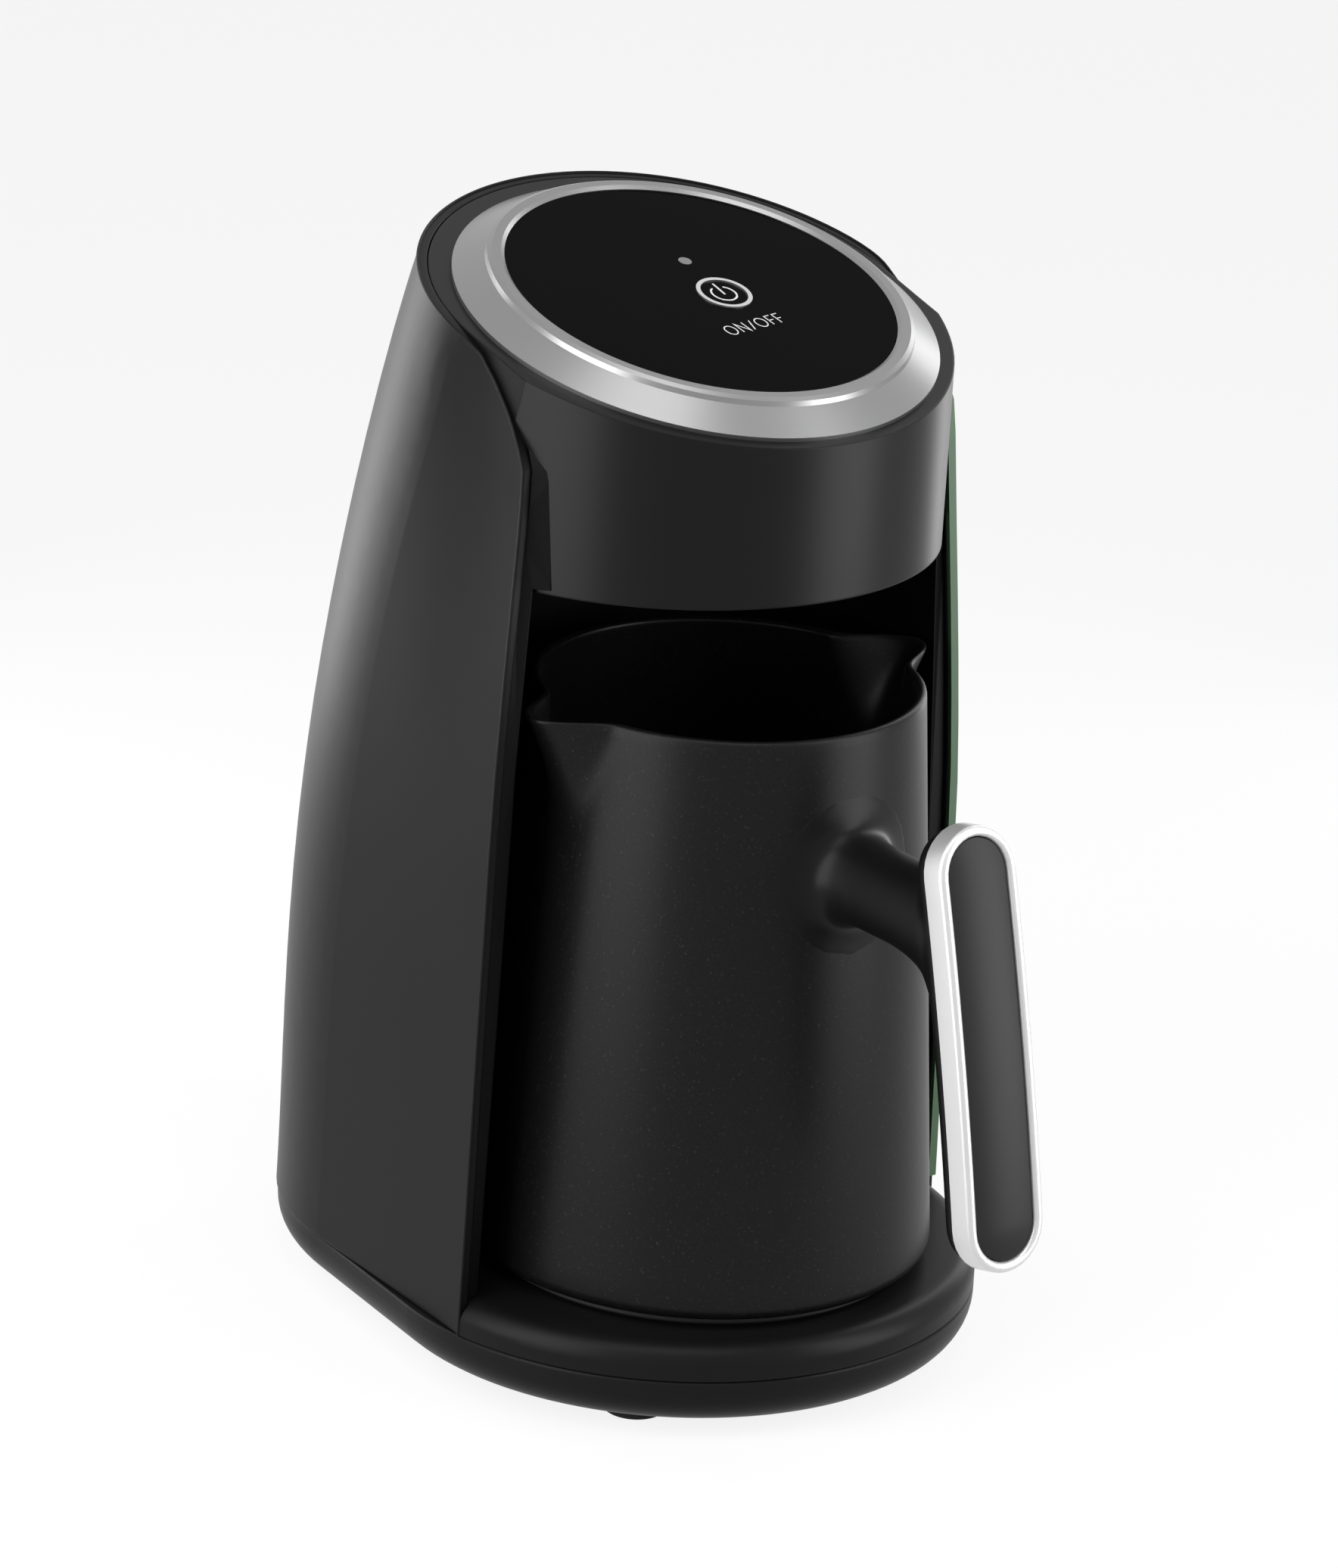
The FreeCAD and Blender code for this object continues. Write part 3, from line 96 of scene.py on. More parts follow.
class Finish:  # a material or the sky, and the nodes that make it
    def __init__(self, name, sky=False):
        self.owner = (bpy.data.worlds if sky else bpy.data.materials).new(name)
        self.owner.use_nodes = True
        self.tree = self.owner.node_tree
        self.tree.nodes.clear()
        self.out = self.tree.nodes.new("ShaderNodeOutputWorld" if sky else "ShaderNodeOutputMaterial")

    def add(self, kind, settings=None, sockets=None, output=0):
        node = self.tree.nodes.new(kind)
        for key, value in (settings or {}).items():
            if key == "stops":
                self.ramp(node, value)
            else:
                setattr(node, key, value)
        for key, value in (sockets or {}).items():
            self.plug(value, node.inputs[key])
        return Wire(self, node.outputs[output])

    def plug(self, value, socket):
        if isinstance(value, Wire):
            self.tree.links.new(value.socket, socket)
        else:
            socket.default_value = value

    def ramp(self, node, stops):  # a ramp has two stops from the start, and no more are used
        for element, (place, colour) in zip(node.color_ramp.elements, stops):
            element.position = place
            element.color = colour

    def surface(self, shader):
        self.tree.links.new(shader.socket, self.out.inputs["Surface"])
        return self.owner

    def place(self):
        return self.add("ShaderNodeTexCoord", output="Object")

    def noise(self, scale, detail, rough):  # scale per metre
        return self.add("ShaderNodeTexNoise", None,
                        {"Vector": self.place(), "Scale": scale, "Detail": detail, "Roughness": rough})

    def between(self, value, low, high):  # 0 below low and 1 above high
        stops = [(low, tone(0)), (high, tone(1))]
        return self.add("ShaderNodeValToRGB", {"stops": stops}, {"Fac": value})

    def soften(self, radius):  # edges that look rounded, in mm
        return self.add("ShaderNodeBevel", {"samples": bevelSamples}, {"Radius": radius * mm})

    def shade(self, dark, light, mask):  # sockets 6 and 7 and output 2 are the node's colour ones
        return self.add("ShaderNodeMix", {"data_type": "RGBA"}, {0: mask, 6: dark, 7: light}, output=2)

    def vary(self, level, shares, mask, tint=(1, 1, 1)):  # a grey between two shares of its level
        dark, light = shares
        return self.shade(tone(level * dark), tone(level * light, tint), mask)

    def bump(self, height, depth, strength, under=None):  # depth in mm
        sockets = {"Height": height, "Distance": depth * mm, "Strength": strength}
        if under:
            sockets["Normal"] = under
        return self.add("ShaderNodeBump", None, sockets)

    def principled(self, sockets):
        return self.surface(self.add("ShaderNodeBsdfPrincipled", None, sockets))


def tone(level, tint=(1, 1, 1)):
    return (level * tint[0], level * tint[1], level * tint[2], 1)


plastics = {  # level, roughness, shine, grain height in mm, grain size per m, softened edge in mm
    "dark_shell": dict(level=0.005, rough=0.38, shine=0.1, grain=0.010, size=2600, edge=0.5),
    "cover_paint": dict(level=0.005, rough=0.37, shine=0.1, grain=0.006, size=2600, edge=0.8),
    "dark_frame": dict(level=0.003, rough=0.4, shine=0.08, grain=0.010, size=2600, edge=0.5),
    "dark_head": dict(level=0.004, rough=0.34, shine=0.13, grain=0.008, size=2600, edge=0.6),
    "switch_plastic": dict(level=0.020, rough=0.50, shine=0.30, grain=0.012, size=1800, edge=0.3),
    "handle_black": dict(level=0.004, rough=0.34, shine=0.12, grain=0.008, size=2600, edge=0.3),
    "inlay_grey": dict(level=0.014, rough=0.34, shine=0.13, grain=0.008, size=3000, edge=0.3),
    "foot_rubber": dict(level=0.014, rough=0.75, shine=0.15, grain=0.030, size=1500, edge=0.5),
    "seal_rubber": dict(level=0.008, rough=0.70, shine=0.12, grain=0.020, size=1500, edge=0.2),
}
plastic = {"cloud": (38, 3, 0.55), "fine": (2, 0.6), "tones": (0.9, 1.1), "tint": (1, 1, 1.02),
           "roughLess": 0.03, "roughCloud": 0.05, "roughGrain": 0.02, "bump": 0.5}


def makePlastic(name, look):
    f = Finish(name)
    cloud = f.noise(*plastic["cloud"])
    fine = f.noise(look["size"], *plastic["fine"])
    rough = look["rough"] - plastic["roughLess"] + cloud * plastic["roughCloud"]
    return f.principled({
        "Base Color": f.vary(look["level"], plastic["tones"], cloud, plastic["tint"]),
        "Roughness": rough + fine * plastic["roughGrain"],
        "Normal": f.bump(fine, look["grain"], plastic["bump"], f.soften(look["edge"])),
        "Specular IOR Level": look["shine"]})


silvers = {
    "ring_silver": dict(level=0.25, rough=0.30, metal=0.9),
    "mark_silver": dict(level=0.62, rough=0.25, metal=0.9),
    "band_silver": dict(level=0.60, rough=0.30, metal=0.6),
}
silver = {"cloud": (60, 2, 0.5), "fleck": (5200, 2, 0.6), "tones": (0.97, 1.03), "tint": (1, 1, 1.01),
          "roughLess": 0.02, "roughCloud": 0.04, "depth": 0.003, "bump": 0.5, "shine": 0.4}


def makeSilver(name, look):
    f = Finish(name)
    fleck = f.noise(*silver["fleck"])
    return f.principled({
        "Base Color": f.vary(look["level"], silver["tones"], fleck, silver["tint"]),
        "Metallic": look["metal"],
        "Roughness": look["rough"] - silver["roughLess"] + f.noise(*silver["cloud"]) * silver["roughCloud"],
        "Normal": f.bump(fleck, silver["depth"], silver["bump"]), "Specular IOR Level": silver["shine"]})


metals = {
    "screw_steel": dict(level=0.5, rough=0.35, metal=1.0),
    "element_steel": dict(level=0.4, rough=0.4, metal=1.0),
    "plate_metal": dict(level=0.035, rough=0.45, metal=0.6),
}
metal = {"grain": (900, 3, 0.6), "cloud": (35, 3, 0.6), "tones": (0.85, 1.1),
         "roughLess": 0.05, "roughGrain": 0.1, "depth": 0.015, "bump": 0.5}


def makeMetal(name, look):
    f = Finish(name)
    grain = f.noise(*metal["grain"])
    return f.principled({
        "Base Color": f.vary(look["level"], metal["tones"], f.noise(*metal["cloud"])),
        "Metallic": look["metal"],
        "Roughness": look["rough"] - metal["roughLess"] + grain * metal["roughGrain"],
        "Normal": f.bump(grain, metal["depth"], metal["bump"])})


glosses = {"lens_smoke": dict(level=0.010), "panel_gloss": dict(level=0.001)}
gloss = {"smear": (22, 4, 0.6), "wave": (9, 1, 0.4), "tones": (0.8, 1.3), "rough": 0.10, "roughSmear": 0.05,
         "depth": 0.02, "bump": 0.3, "shine": 0.01}


def makeGloss(name, look):
    f = Finish(name)
    smear = f.noise(*gloss["smear"])
    return f.principled({
        "Base Color": f.vary(look["level"], gloss["tones"], smear),
        "Roughness": gloss["rough"] + smear * gloss["roughSmear"],
        "Normal": f.bump(f.noise(*gloss["wave"]), gloss["depth"], gloss["bump"]),
        "Specular IOR Level": gloss["shine"]})


marks = {"lamp_grey": dict(level=0.16), "mark_white": dict(level=0.72)}
mark = {"cloud": (800, 2, 0.5), "tones": (0.95, 1), "rough": 0.35, "roughCloud": 0.05}


def makeMark(name, look):
    f = Finish(name)
    cloud = f.noise(*mark["cloud"])
    return f.principled({"Base Color": f.vary(look["level"], mark["tones"], cloud),
                         "Roughness": mark["rough"] + cloud * mark["roughCloud"]})


coating = {"cloud": (30, 3, 0.5), "grit": (1500, 3, 0.7), "speck": (0.60, 0.72),
           "dark": 0.004, "light": 0.020, "rough": 0.36, "roughCloud": 0.06, "roughGrit": 0.05,
           "depth": 0.02, "bump": 0.6, "shine": 0.13}


def makeCoating(name):  # the pot's black coat, with fine pale specks
    f = Finish(name)
    grit = f.noise(*coating["grit"])
    speck = f.between(grit, *coating["speck"])
    return f.principled({
        "Base Color": f.shade(tone(coating["dark"]), tone(coating["light"]), speck),
        "Roughness": (coating["rough"] + f.noise(*coating["cloud"]) * coating["roughCloud"]
                      - grit * coating["roughGrit"]),
        "Normal": f.bump(grit, coating["depth"], coating["bump"]), "Specular IOR Level": coating["shine"]})


board = {"maze": 420, "line": (0.35, 0.42), "dark": (0.05, (0.3, 1, 0.45)), "light": (0.10, (0.4, 1, 0.5)),
         "rough": 0.45}


def makeBoard(name):
    f = Finish(name)
    maze = f.add("ShaderNodeTexVoronoi", {"distance": "CHEBYCHEV"},
                 {"Vector": f.place(), "Scale": board["maze"]})
    line = f.between(maze, *board["line"])
    return f.principled({"Base Color": f.shade(tone(*board["dark"]), tone(*board["light"]), line),
                         "Roughness": board["rough"]})


green = {"cloud": (90, 2, 0.5), "dark": (0.022, 0.062, 0.024, 1), "light": (0.032, 0.082, 0.033, 1),
         "rough": 0.45, "roughCloud": 0.05}


def makeGreen(name):
    f = Finish(name)
    cloud = f.noise(*green["cloud"])
    return f.principled({"Base Color": f.shade(green["dark"], green["light"], cloud),
                         "Roughness": green["rough"] + cloud * green["roughCloud"]})


kinds = ((makePlastic, plastics), (makeSilver, silvers), (makeMetal, metals), (makeGloss, glosses),
         (makeMark, marks))
materials = {name: make(name, look) for make, looks in kinds for name, look in looks.items()}
materials["pot_coating"] = makeCoating("pot_coating")
materials["board_green"] = makeBoard("board_green")
materials["edge_green"] = makeGreen("edge_green")
for part in frame["record"]["subparts"]:
    node = frame["nodes"][part["node"]]
    for slot in node.material_slots:
        slot.material = materials[part["material_slot"]]
    if not node.material_slots:
        node.data.materials.append(materials[part["material_slot"]])
print("materials on the nodes:", len(frame["nodes"]))


# Pieces and meshes
def addPiece(name, mesh, body, slotName, material=None, smooth=True):  # None keeps the mesh's shading
    piece = bpy.data.objects.new(name, mesh)
    scene.collection.objects.link(piece)
    piece.data.materials.append(materials[material or slotName])
    if smooth is not None:
        for face in mesh.polygons:
            face.use_smooth = smooth
    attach(piece, body)
    return piece


def toMesh(bm, name):
    bmesh.ops.recalc_face_normals(bm, faces=bm.faces)
    mesh = bpy.data.meshes.new(name)
    bm.to_mesh(mesh)
    bm.free()
    return mesh


def weld(bm):
    bmesh.ops.remove_doubles(bm, verts=bm.verts, dist=weldWithin)


def finished(helper):  # the mesh that a helper's curve or modifiers give; the helper itself goes
    scene.collection.objects.link(helper)
    bpy.context.view_layer.update()
    mesh = bpy.data.meshes.new_from_object(helper.evaluated_get(bpy.context.evaluated_depsgraph_get()))
    bpy.data.objects.remove(helper)
    mesh.materials.clear()
    return mesh


def skin(bm, rings, fans=True):  # faces between rings of points, with a fan at each end
    rows = [[bm.verts.new(point) for point in ring] for ring in rings]
    count = len(rows[0])
    for one, two in zip(rows, rows[1:]):
        for k in range(count):
            bm.faces.new((one[k], one[(k + 1) % count], two[(k + 1) % count], two[k]))
    for row in (rows[0], rows[-1]) if fans else ():
        hub = bm.verts.new(sum((v.co for v in row), Vector()) / count)
        for k in range(count):
            bm.faces.new((row[k], row[(k + 1) % count], hub))


def rounding(radius, sweep=90, steps=6):  # how far in, and how far up, along a rounded corner
    turns = [math.radians(sweep) * k / steps for k in range(steps + 1)]
    return [(radius * (1 - math.cos(turn)), radius * (1 - math.sin(turn))) for turn in turns]


def smoothStep(value, low, high):
    t = min(max((value - low) / (high - low), 0), 1)
    return t * t * (3 - 2 * t)


# Cover, its green line and the frame's posts get a rounder upper corner and a narrower top, all in mm
edge = {"back": (  # a height, and how far the edge goes back there
            (110, 0), (190, 2.4), (200, 2.8), (207, 6), (214, 8.5), (219, 9), (223, 6), (226, 1), (230, 0)),
        "narrow": 1.5, "narrowFrom": 110, "narrowTo": 190, "fadeFrom": 4, "fadeTo": 40,
        "post": 4.8, "postInside": 51, "postOutside": 57, "postFrom": 3, "postTo": 14,
        "greenTop": 208, "sharp": 30}


def edgeBack(height):  # how far the cover's edge goes back at a height
    for (lower, one), (upper, two) in zip(edge["back"], edge["back"][1:]):
        if lower <= height <= upper:
            return one + (two - one) * (height - lower) / (upper - lower)
    return 0


def edgeMoved(spot, post):  # a post also comes forward
    x, y, z = (v / mm for v in spot)
    behind = y - coverFront
    rise = smoothStep(z, edge["narrowFrom"], edge["narrowTo"])
    near = 1 - smoothStep(behind, edge["fadeFrom"], edge["fadeTo"])
    across = abs(x) - edge["narrow"] * rise * near
    back = edgeBack(z) * near
    if post:
        inside = 1 - smoothStep(abs(x), edge["postInside"], edge["postOutside"])
        back -= edge["post"] * rise * inside * (1 - smoothStep(behind, edge["postFrom"], edge["postTo"]))
    return Vector((math.copysign(across, x) * mm, (y + back) * mm, z * mm))


def cutAbove(mesh, height):  # takes off what stands higher, and closes the cut
    bm = bmesh.new()
    bm.from_mesh(mesh)
    weld(bm)
    bmesh.ops.bisect_plane(bm, geom=bm.verts[:] + bm.edges[:] + bm.faces[:], clear_outer=True,
                           plane_co=(0, 0, height * mm), plane_no=(0, 0, 1))
    bmesh.ops.holes_fill(bm, edges=[e for e in bm.edges if e.is_boundary])
    bm.to_mesh(mesh)
    bm.free()
    mesh.set_sharp_from_angle(angle=math.radians(edge["sharp"]))


def makeEdged(node, name, material, post=False, top=None):  # a reshaped copy that stands for its node
    mesh = frame["nodes"][node].data.copy()
    mesh.materials.clear()
    for vertex in mesh.vertices:
        vertex.co = edgeMoved(vertex.co, post)
    if top is not None:
        cutAbove(mesh, top)
    piece = addPiece(name, mesh, "machine", material, smooth=None)
    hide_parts(node)
    return piece


bead = {"radius": 0.35, "round": 3, "sharp": 40, "outward": 0.6, "above": 15, "rearCentre": 44}


def onLip(side):  # whether a mesh edge is the outer one of the cover's front, and not behind the green line
    if len(side.link_faces) != 2 or side.calc_face_angle() < math.radians(bead["sharp"]):
        return False
    spot = (side.verts[0].co + side.verts[1].co) / 2
    out = Vector((spot.x, max(spot.y - bead["rearCentre"] * mm, 0), 0)).normalized()
    if max(f.normal.dot(out) for f in side.link_faces) < bead["outward"] or spot.z < bead["above"] * mm:
        return False
    return spot.x <= 0 or spot.z >= edge["greenTop"] * mm


def lipPath(shell):  # the places along the lip, from its lower end
    bm = bmesh.new()
    bm.from_mesh(shell.data)
    weld(bm)
    bm.normal_update()
    nextTo = {}
    for side in filter(onLip, bm.edges):
        for one, two in (side.verts, reversed(side.verts)):
            nextTo.setdefault(one, []).append(two)
    chain = [min((v for v in nextTo if len(nextTo[v]) == 1), key=lambda v: v.co.z)]
    onward = nextTo[chain[0]]
    while onward:
        chain.append(onward[0])
        onward = [v for v in nextTo[chain[-1]] if v not in chain]
    path = [v.co.copy() for v in chain]
    bm.free()
    return path


def makeBead(shell):  # the thin rounded lip along the cover's front edge, up one side and round the head
    path = lipPath(shell)
    curve = bpy.data.curves.new("beadCurve", "CURVE")
    curve.dimensions = "3D"
    curve.bevel_depth = bead["radius"] * mm
    curve.bevel_resolution = bead["round"]
    curve.use_fill_caps = True
    line = curve.splines.new("POLY")
    line.points.add(len(path) - 1)
    for point, spot in zip(line.points, path):
        point.co = (*spot, 1)
    addPiece("cover_lip", finished(bpy.data.objects.new("beadRod", curve)), "machine", "cover_paint")
    print("lip points:", len(path))


makeBead(makeEdged("outer_cover", "cover_shell", "cover_paint"))
makeEdged("bay_frame", "frame_posts", "dark_frame", post=True)
makeEdged("cover_edge_trim", "green_line", "edge_green", top=edge["greenTop"])
print("cover and its edge done")


# Pot: lengths in mm, heights from the pot's own bottom
pot = {"foot": 50.4, "rim": 41.3, "height": 125, "wall": 2, "floor": 2.5, "corner": 3,
       "reach": 52.6, "drop": 27, "fade": 1.7, "spread": 21, "narrow": 0.45, "point": 1.3,
       "columns": 300, "levels": 64, "rimSteps": 8, "crowdUp": 0.8, "crowdDown": 1.25,
       "underInset": 12, "floorInset": 17}


def potPoint(x, y, z):  # mm from the pot's axis, and mm over the floor
    return Vector((potAxis.x + x * mm, potAxis.y + y * mm, z * mm))


def potRadius(height):
    return pot["foot"] - (pot["foot"] - pot["rim"]) * height / pot["height"]


def spoutOut(height, angle):  # how far a spout stands out of the tapered wall
    below = min(max((pot["height"] - height) / pot["drop"], 0), 1)
    spread = math.radians(pot["spread"] * (1 - below * (1 - pot["narrow"])))
    away = abs(math.atan2(math.sin(angle), abs(math.cos(angle))))  # from the x axis, either way
    if away >= spread:
        return 0
    swell = (0.5 + 0.5 * math.cos(math.pi * away / spread)) ** pot["point"]
    return (pot["reach"] - pot["rim"]) * (1 - below) ** pot["fade"] * swell


def potRing(height, inward):  # one level of the wall, moved in by some mm
    ring = []
    for k in range(pot["columns"]):
        angle = 2 * math.pi * k / pot["columns"]
        radius = potRadius(height) + spoutOut(height, angle) - inward
        ring.append(potPoint(radius * math.cos(angle), radius * math.sin(angle), potBottom + height))
    return ring


def makePot():
    corner, wall, top, inside = pot["corner"], pot["wall"], pot["height"], pot["floor"]
    rim = wall / 2
    shares = [k / pot["levels"] for k in range(1, pot["levels"])]
    outer = top - rim - corner
    inner = outer - inside
    rings = [potRing(0, pot["underInset"])]
    rings += [potRing(up, inward) for up, inward in rounding(corner)]
    rings += [potRing(corner + outer * share ** pot["crowdUp"], 0) for share in shares]
    rings += [potRing(top - down, inward) for inward, down in rounding(rim, 180, pot["rimSteps"])]
    rings += [potRing(top - rim - inner * share ** pot["crowdDown"], wall) for share in shares]
    rings += [potRing(inside + up, wall + inward) for inward, up in rounding(corner)[1:]]
    rings.append(potRing(inside, pot["floorInset"]))
    bm = bmesh.new()
    skin(bm, rings)
    piece = addPiece("pot_shell", toMesh(bm, "potShell"), "pot", "pot_coating")
    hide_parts("pot_body")


# Handle: neck and spine in one moulding, lengths in mm
grip = {"height": 95.9, "reach": 90.3, "lean": 13, "half": 8.95, "length": 90.2, "front": 5.7, "back": 10.5,
        "round": 2.6, "bow": 1.2, "steps": 16, "voxel": 0.7, "ease": 0.5, "smooth": 8}
neck = {"height": 118, "radius": 9, "flare": 3.3, "flareReach": 3.6, "flareFoot": 0.14, "root": 1.0,
        "wrap": 8, "bulge": 3, "steps": 48, "flareAt": (0, 0.15, 0.4, 0.9, 1.6, 2.6, 4.2, 6.5, 10),
        "join": (  # mm before the spine, rise of the upper side, drop of the lower side, share of the lean
            (12, 0, 0.2, 0.2), (8, 0.3, 1.2, 0.5), (5, 0.8, 3.2, 0.8), (3, 1.8, 6.5, 1),
            (1.6, 3, 12, 1), (0.6, 4.5, 20, 1), (-1.5, 6, 32, 1))}
lean = math.radians(grip["lean"])
neckBase = potRadius(neck["height"] - potBottom)


def gripPoint(x, along, depth):  # a point from the grip's front middle: across, up the grip, and inwards
    depth -= grip["bow"] * (1 - (2 * along / grip["length"]) ** 2)
    y = -grip["reach"] + along * math.sin(lean) + depth * math.cos(lean)
    z = grip["height"] + along * math.cos(lean) - depth * math.sin(lean)
    return potPoint(x, y, z)


def slotRing(half, length, depth):  # the outline of a bar with round ends
    ring = []
    steps = grip["steps"]
    straight = length / 2 - half
    for side in (1, -1):
        for k in range(steps + 1):
            turn = math.pi * k / steps
            x, along = half * math.cos(turn), straight + half * math.sin(turn)
            ring.append(gripPoint(x * side, along * side, depth))
        for k in range(1, steps):
            ring.append(gripPoint(-half * side, straight * side * (1 - 2 * k / steps), depth))
    return ring


def slotLine(half, length, depth):  # the same outline drawn in to its middle line
    return slotRing(0, length - 2 * half, depth)


def neckRing(out, radius, rise=0, drop=0, leanShare=0, wrapShare=0):  # out is in mm from the pot's wall
    ring = []
    for k in range(neck["steps"]):
        turn = 2 * math.pi * k / neck["steps"]
        across, up = radius * math.cos(turn), radius * math.sin(turn)
        up += (rise if up > 0 else drop) * math.sin(turn) ** neck["bulge"]
        wall = potRadius(min(neck["height"] + up, potBottom + pot["height"]) - potBottom)
        curve = math.sqrt(max(wall * wall - across * across, 1)) - neckBase
        y = -(neckBase + out) - curve * wrapShare + up * math.tan(lean) * leanShare
        ring.append(potPoint(across, y, neck["height"] + up))
    return ring


def flaredRadius(out):  # the neck runs into the pot's wall without an edge
    flare = math.exp(-out / neck["flareReach"]) / math.sqrt(out + neck["flareFoot"])
    return neck["radius"] + neck["flare"] * flare


def neckRings():
    rings = [neckRing(-neck["root"], flaredRadius(0), wrapShare=1)]
    for out in neck["flareAt"]:
        rings.append(neckRing(out, flaredRadius(out), wrapShare=max(1 - out / neck["wrap"], 0)))
    spineBack = grip["back"] / math.cos(lean) + (neck["height"] - grip["height"]) * math.tan(lean)
    length = grip["reach"] - spineBack - neckBase
    for short, rise, drop, leanShare in neck["join"]:
        rings.append(neckRing(length - short, neck["radius"], rise, drop, leanShare))
    return rings


def makeHandle():
    half, length, back = grip["half"], grip["length"], grip["back"]
    rings = [slotLine(half, length, grip["front"]), slotRing(half, length, grip["front"])]
    rings += [slotRing(half - inset, length - inset * 2, back - up) for inset, up in rounding(grip["round"])]
    rings.append(slotLine(half, length, back))
    bm = bmesh.new()
    skin(bm, rings, fans=False)
    weld(bm)
    skin(bm, neckRings())
    block = bpy.data.objects.new("handleRough", toMesh(bm, "handleBlock"))
    remesh = block.modifiers.new("remesh", "REMESH")
    remesh.mode = "VOXEL"
    remesh.voxel_size = grip["voxel"] * mm
    ease = block.modifiers.new("ease", "SMOOTH")
    ease.factor = grip["ease"]
    ease.iterations = grip["smooth"]
    mesh = finished(block)
    mesh.name = "handleMoulding"
    piece = addPiece("handle_moulding", mesh, "pot", "handle_black")
    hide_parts("handle_core")


inlay = {"half": 7.5, "length": 87.2, "drop": 0.9, "crown": 0.8, "back": 5.6, "rings": 12}
band = {"half": 9.95, "length": 92.2, "width": 2.3, "depth": 6, "round": 1.1, "chamfer": 0.4}
slotSharp = 40


def makeSlotPiece(name, rings, material, node):
    bm = bmesh.new()
    skin(bm, rings, fans=False)
    weld(bm)
    mesh = toMesh(bm, name + "Mesh")
    piece = addPiece(name, mesh, "pot", material)
    mesh.set_sharp_from_angle(angle=math.radians(slotSharp))
    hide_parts(node)


def makeInlay():  # a crowned insert, so that it shades from one side to the other
    half, length = inlay["half"], inlay["length"]
    rings = [slotLine(half, length, inlay["back"]), slotRing(half, length, inlay["back"])]
    for k in range(inlay["rings"]):
        share = k / (inlay["rings"] - 1)
        depth = inlay["drop"] - inlay["crown"] * (1 - (1 - share) ** 2)
        rings.append(slotRing(half * (1 - share), length - 2 * half * share, depth))
    makeSlotPiece("inlay_crown", rings, "inlay_grey", "handle_inlay")


def makeBand():  # the bright band round the grip, with rounded front edges
    wide, deep, small = band["width"], band["depth"], band["chamfer"]
    profile = rounding(band["round"])
    profile += [(wide - inset, depth) for inset, depth in reversed(profile)]
    profile += [(wide, deep - small), (wide - small, deep), (small, deep), (0, deep - small), profile[0]]
    half, length = band["half"], band["length"]
    rings = [slotRing(half - inset, length - 2 * inset, depth) for inset, depth in profile]
    makeSlotPiece("grip_band", rings, "band_silver", "handle_band")


makePot()
makeHandle()
makeInlay()
makeBand()
print("pot and handle done")


# Marks on the panel: mm from the middle of the button's face, to the right and towards the rear
panelX = Vector((1, 0, 0))
panelBack = panelUp.cross(panelX)
ink = {"under": 0.01, "faceWithin": 0.05, "mitre": 0.3, "arcSteps": 48}  # mm, but for mitre and steps


def topOf(node):  # a node's height along the panel's normal
    return max(v.co.dot(panelUp) for v in frame["nodes"][node].data.vertices)


def buttonMiddle():  # the middle of the button's upper face, found from its vertices
    highest = topOf("power_button")
    spots = [v.co for v in frame["nodes"]["power_button"].data.vertices]
    backs = [s.dot(panelBack) for s in spots if s.dot(panelUp) > highest - ink["faceWithin"] * mm]
    return panelX * middle("power_button").x + panelBack * sum(backs) / len(backs) + panelUp * highest


markMiddle = buttonMiddle()


def onPanel(spot, lift, level):
    height = level - markMiddle.dot(panelUp) + lift * mm
    return markMiddle + panelX * spot.x * mm + panelBack * spot.y * mm + panelUp * height


def leftOf(way):
    return Vector((-way.y, way.x))


def lineSides(path, width, closed):  # both sides of a line, with mitred corners
    sides = []
    for i, spot in enumerate(path):
        before = path[i - 1] if i > 0 or closed else spot
        after = path[(i + 1) % len(path)] if i < len(path) - 1 or closed else spot
        ways = [(b - a).normalized() for a, b in ((before, spot), (spot, after)) if a is not b]
        normal = sum((leftOf(way) for way in ways), Vector((0, 0))).normalized()
        reach = width / 2 / max(normal.dot(leftOf(ways[0])), ink["mitre"])
        sides.append((spot + normal * reach, spot - normal * reach))
    return sides


def ribbon(bm, path, look, level, closed=False):  # a printed line along a path
    low, high = ink["under"], look["thick"]
    rows = []
    for one, two in lineSides(path, look["line"], closed):
        corners = ((one, low), (one, high), (two, high), (two, low))
        rows.append([bm.verts.new(onPanel(spot, lift, level)) for spot, lift in corners])
    pairs = list(zip(rows, rows[1:])) + ([(rows[-1], rows[0])] if closed else [])
    for one, two in pairs:
        for k in range(len(one)):
            after = (k + 1) % len(one)
            bm.faces.new((one[k], one[after], two[after], two[k]))
    if not closed:
        bm.faces.new(rows[0])
        bm.faces.new(list(reversed(rows[-1])))


def arc(radiusX, radiusY, start, end, steps):
    turns = [math.radians(start + (end - start) * k / steps) for k in range(steps + 1)]
    return [Vector((radiusX * math.cos(t), radiusY * math.sin(t))) for t in turns]


symbol = {"radius": 2.75, "gap": 30, "line": 0.42, "barLow": -0.4, "barHigh": 4.1, "thick": 0.05}


def makeSymbol():
    bm = bmesh.new()
    level = topOf("power_button")
    radius, gap = symbol["radius"], symbol["gap"]
    ribbon(bm, arc(radius, radius, 90 + gap, 450 - gap, ink["arcSteps"]), symbol, level)
    ribbon(bm, [Vector((0, symbol["barLow"])), Vector((0, symbol["barHigh"]))], symbol, level)
    addPiece("power_symbol", toMesh(bm, "powerSymbol"), "button", "mark_silver", "mark_white", smooth=False)


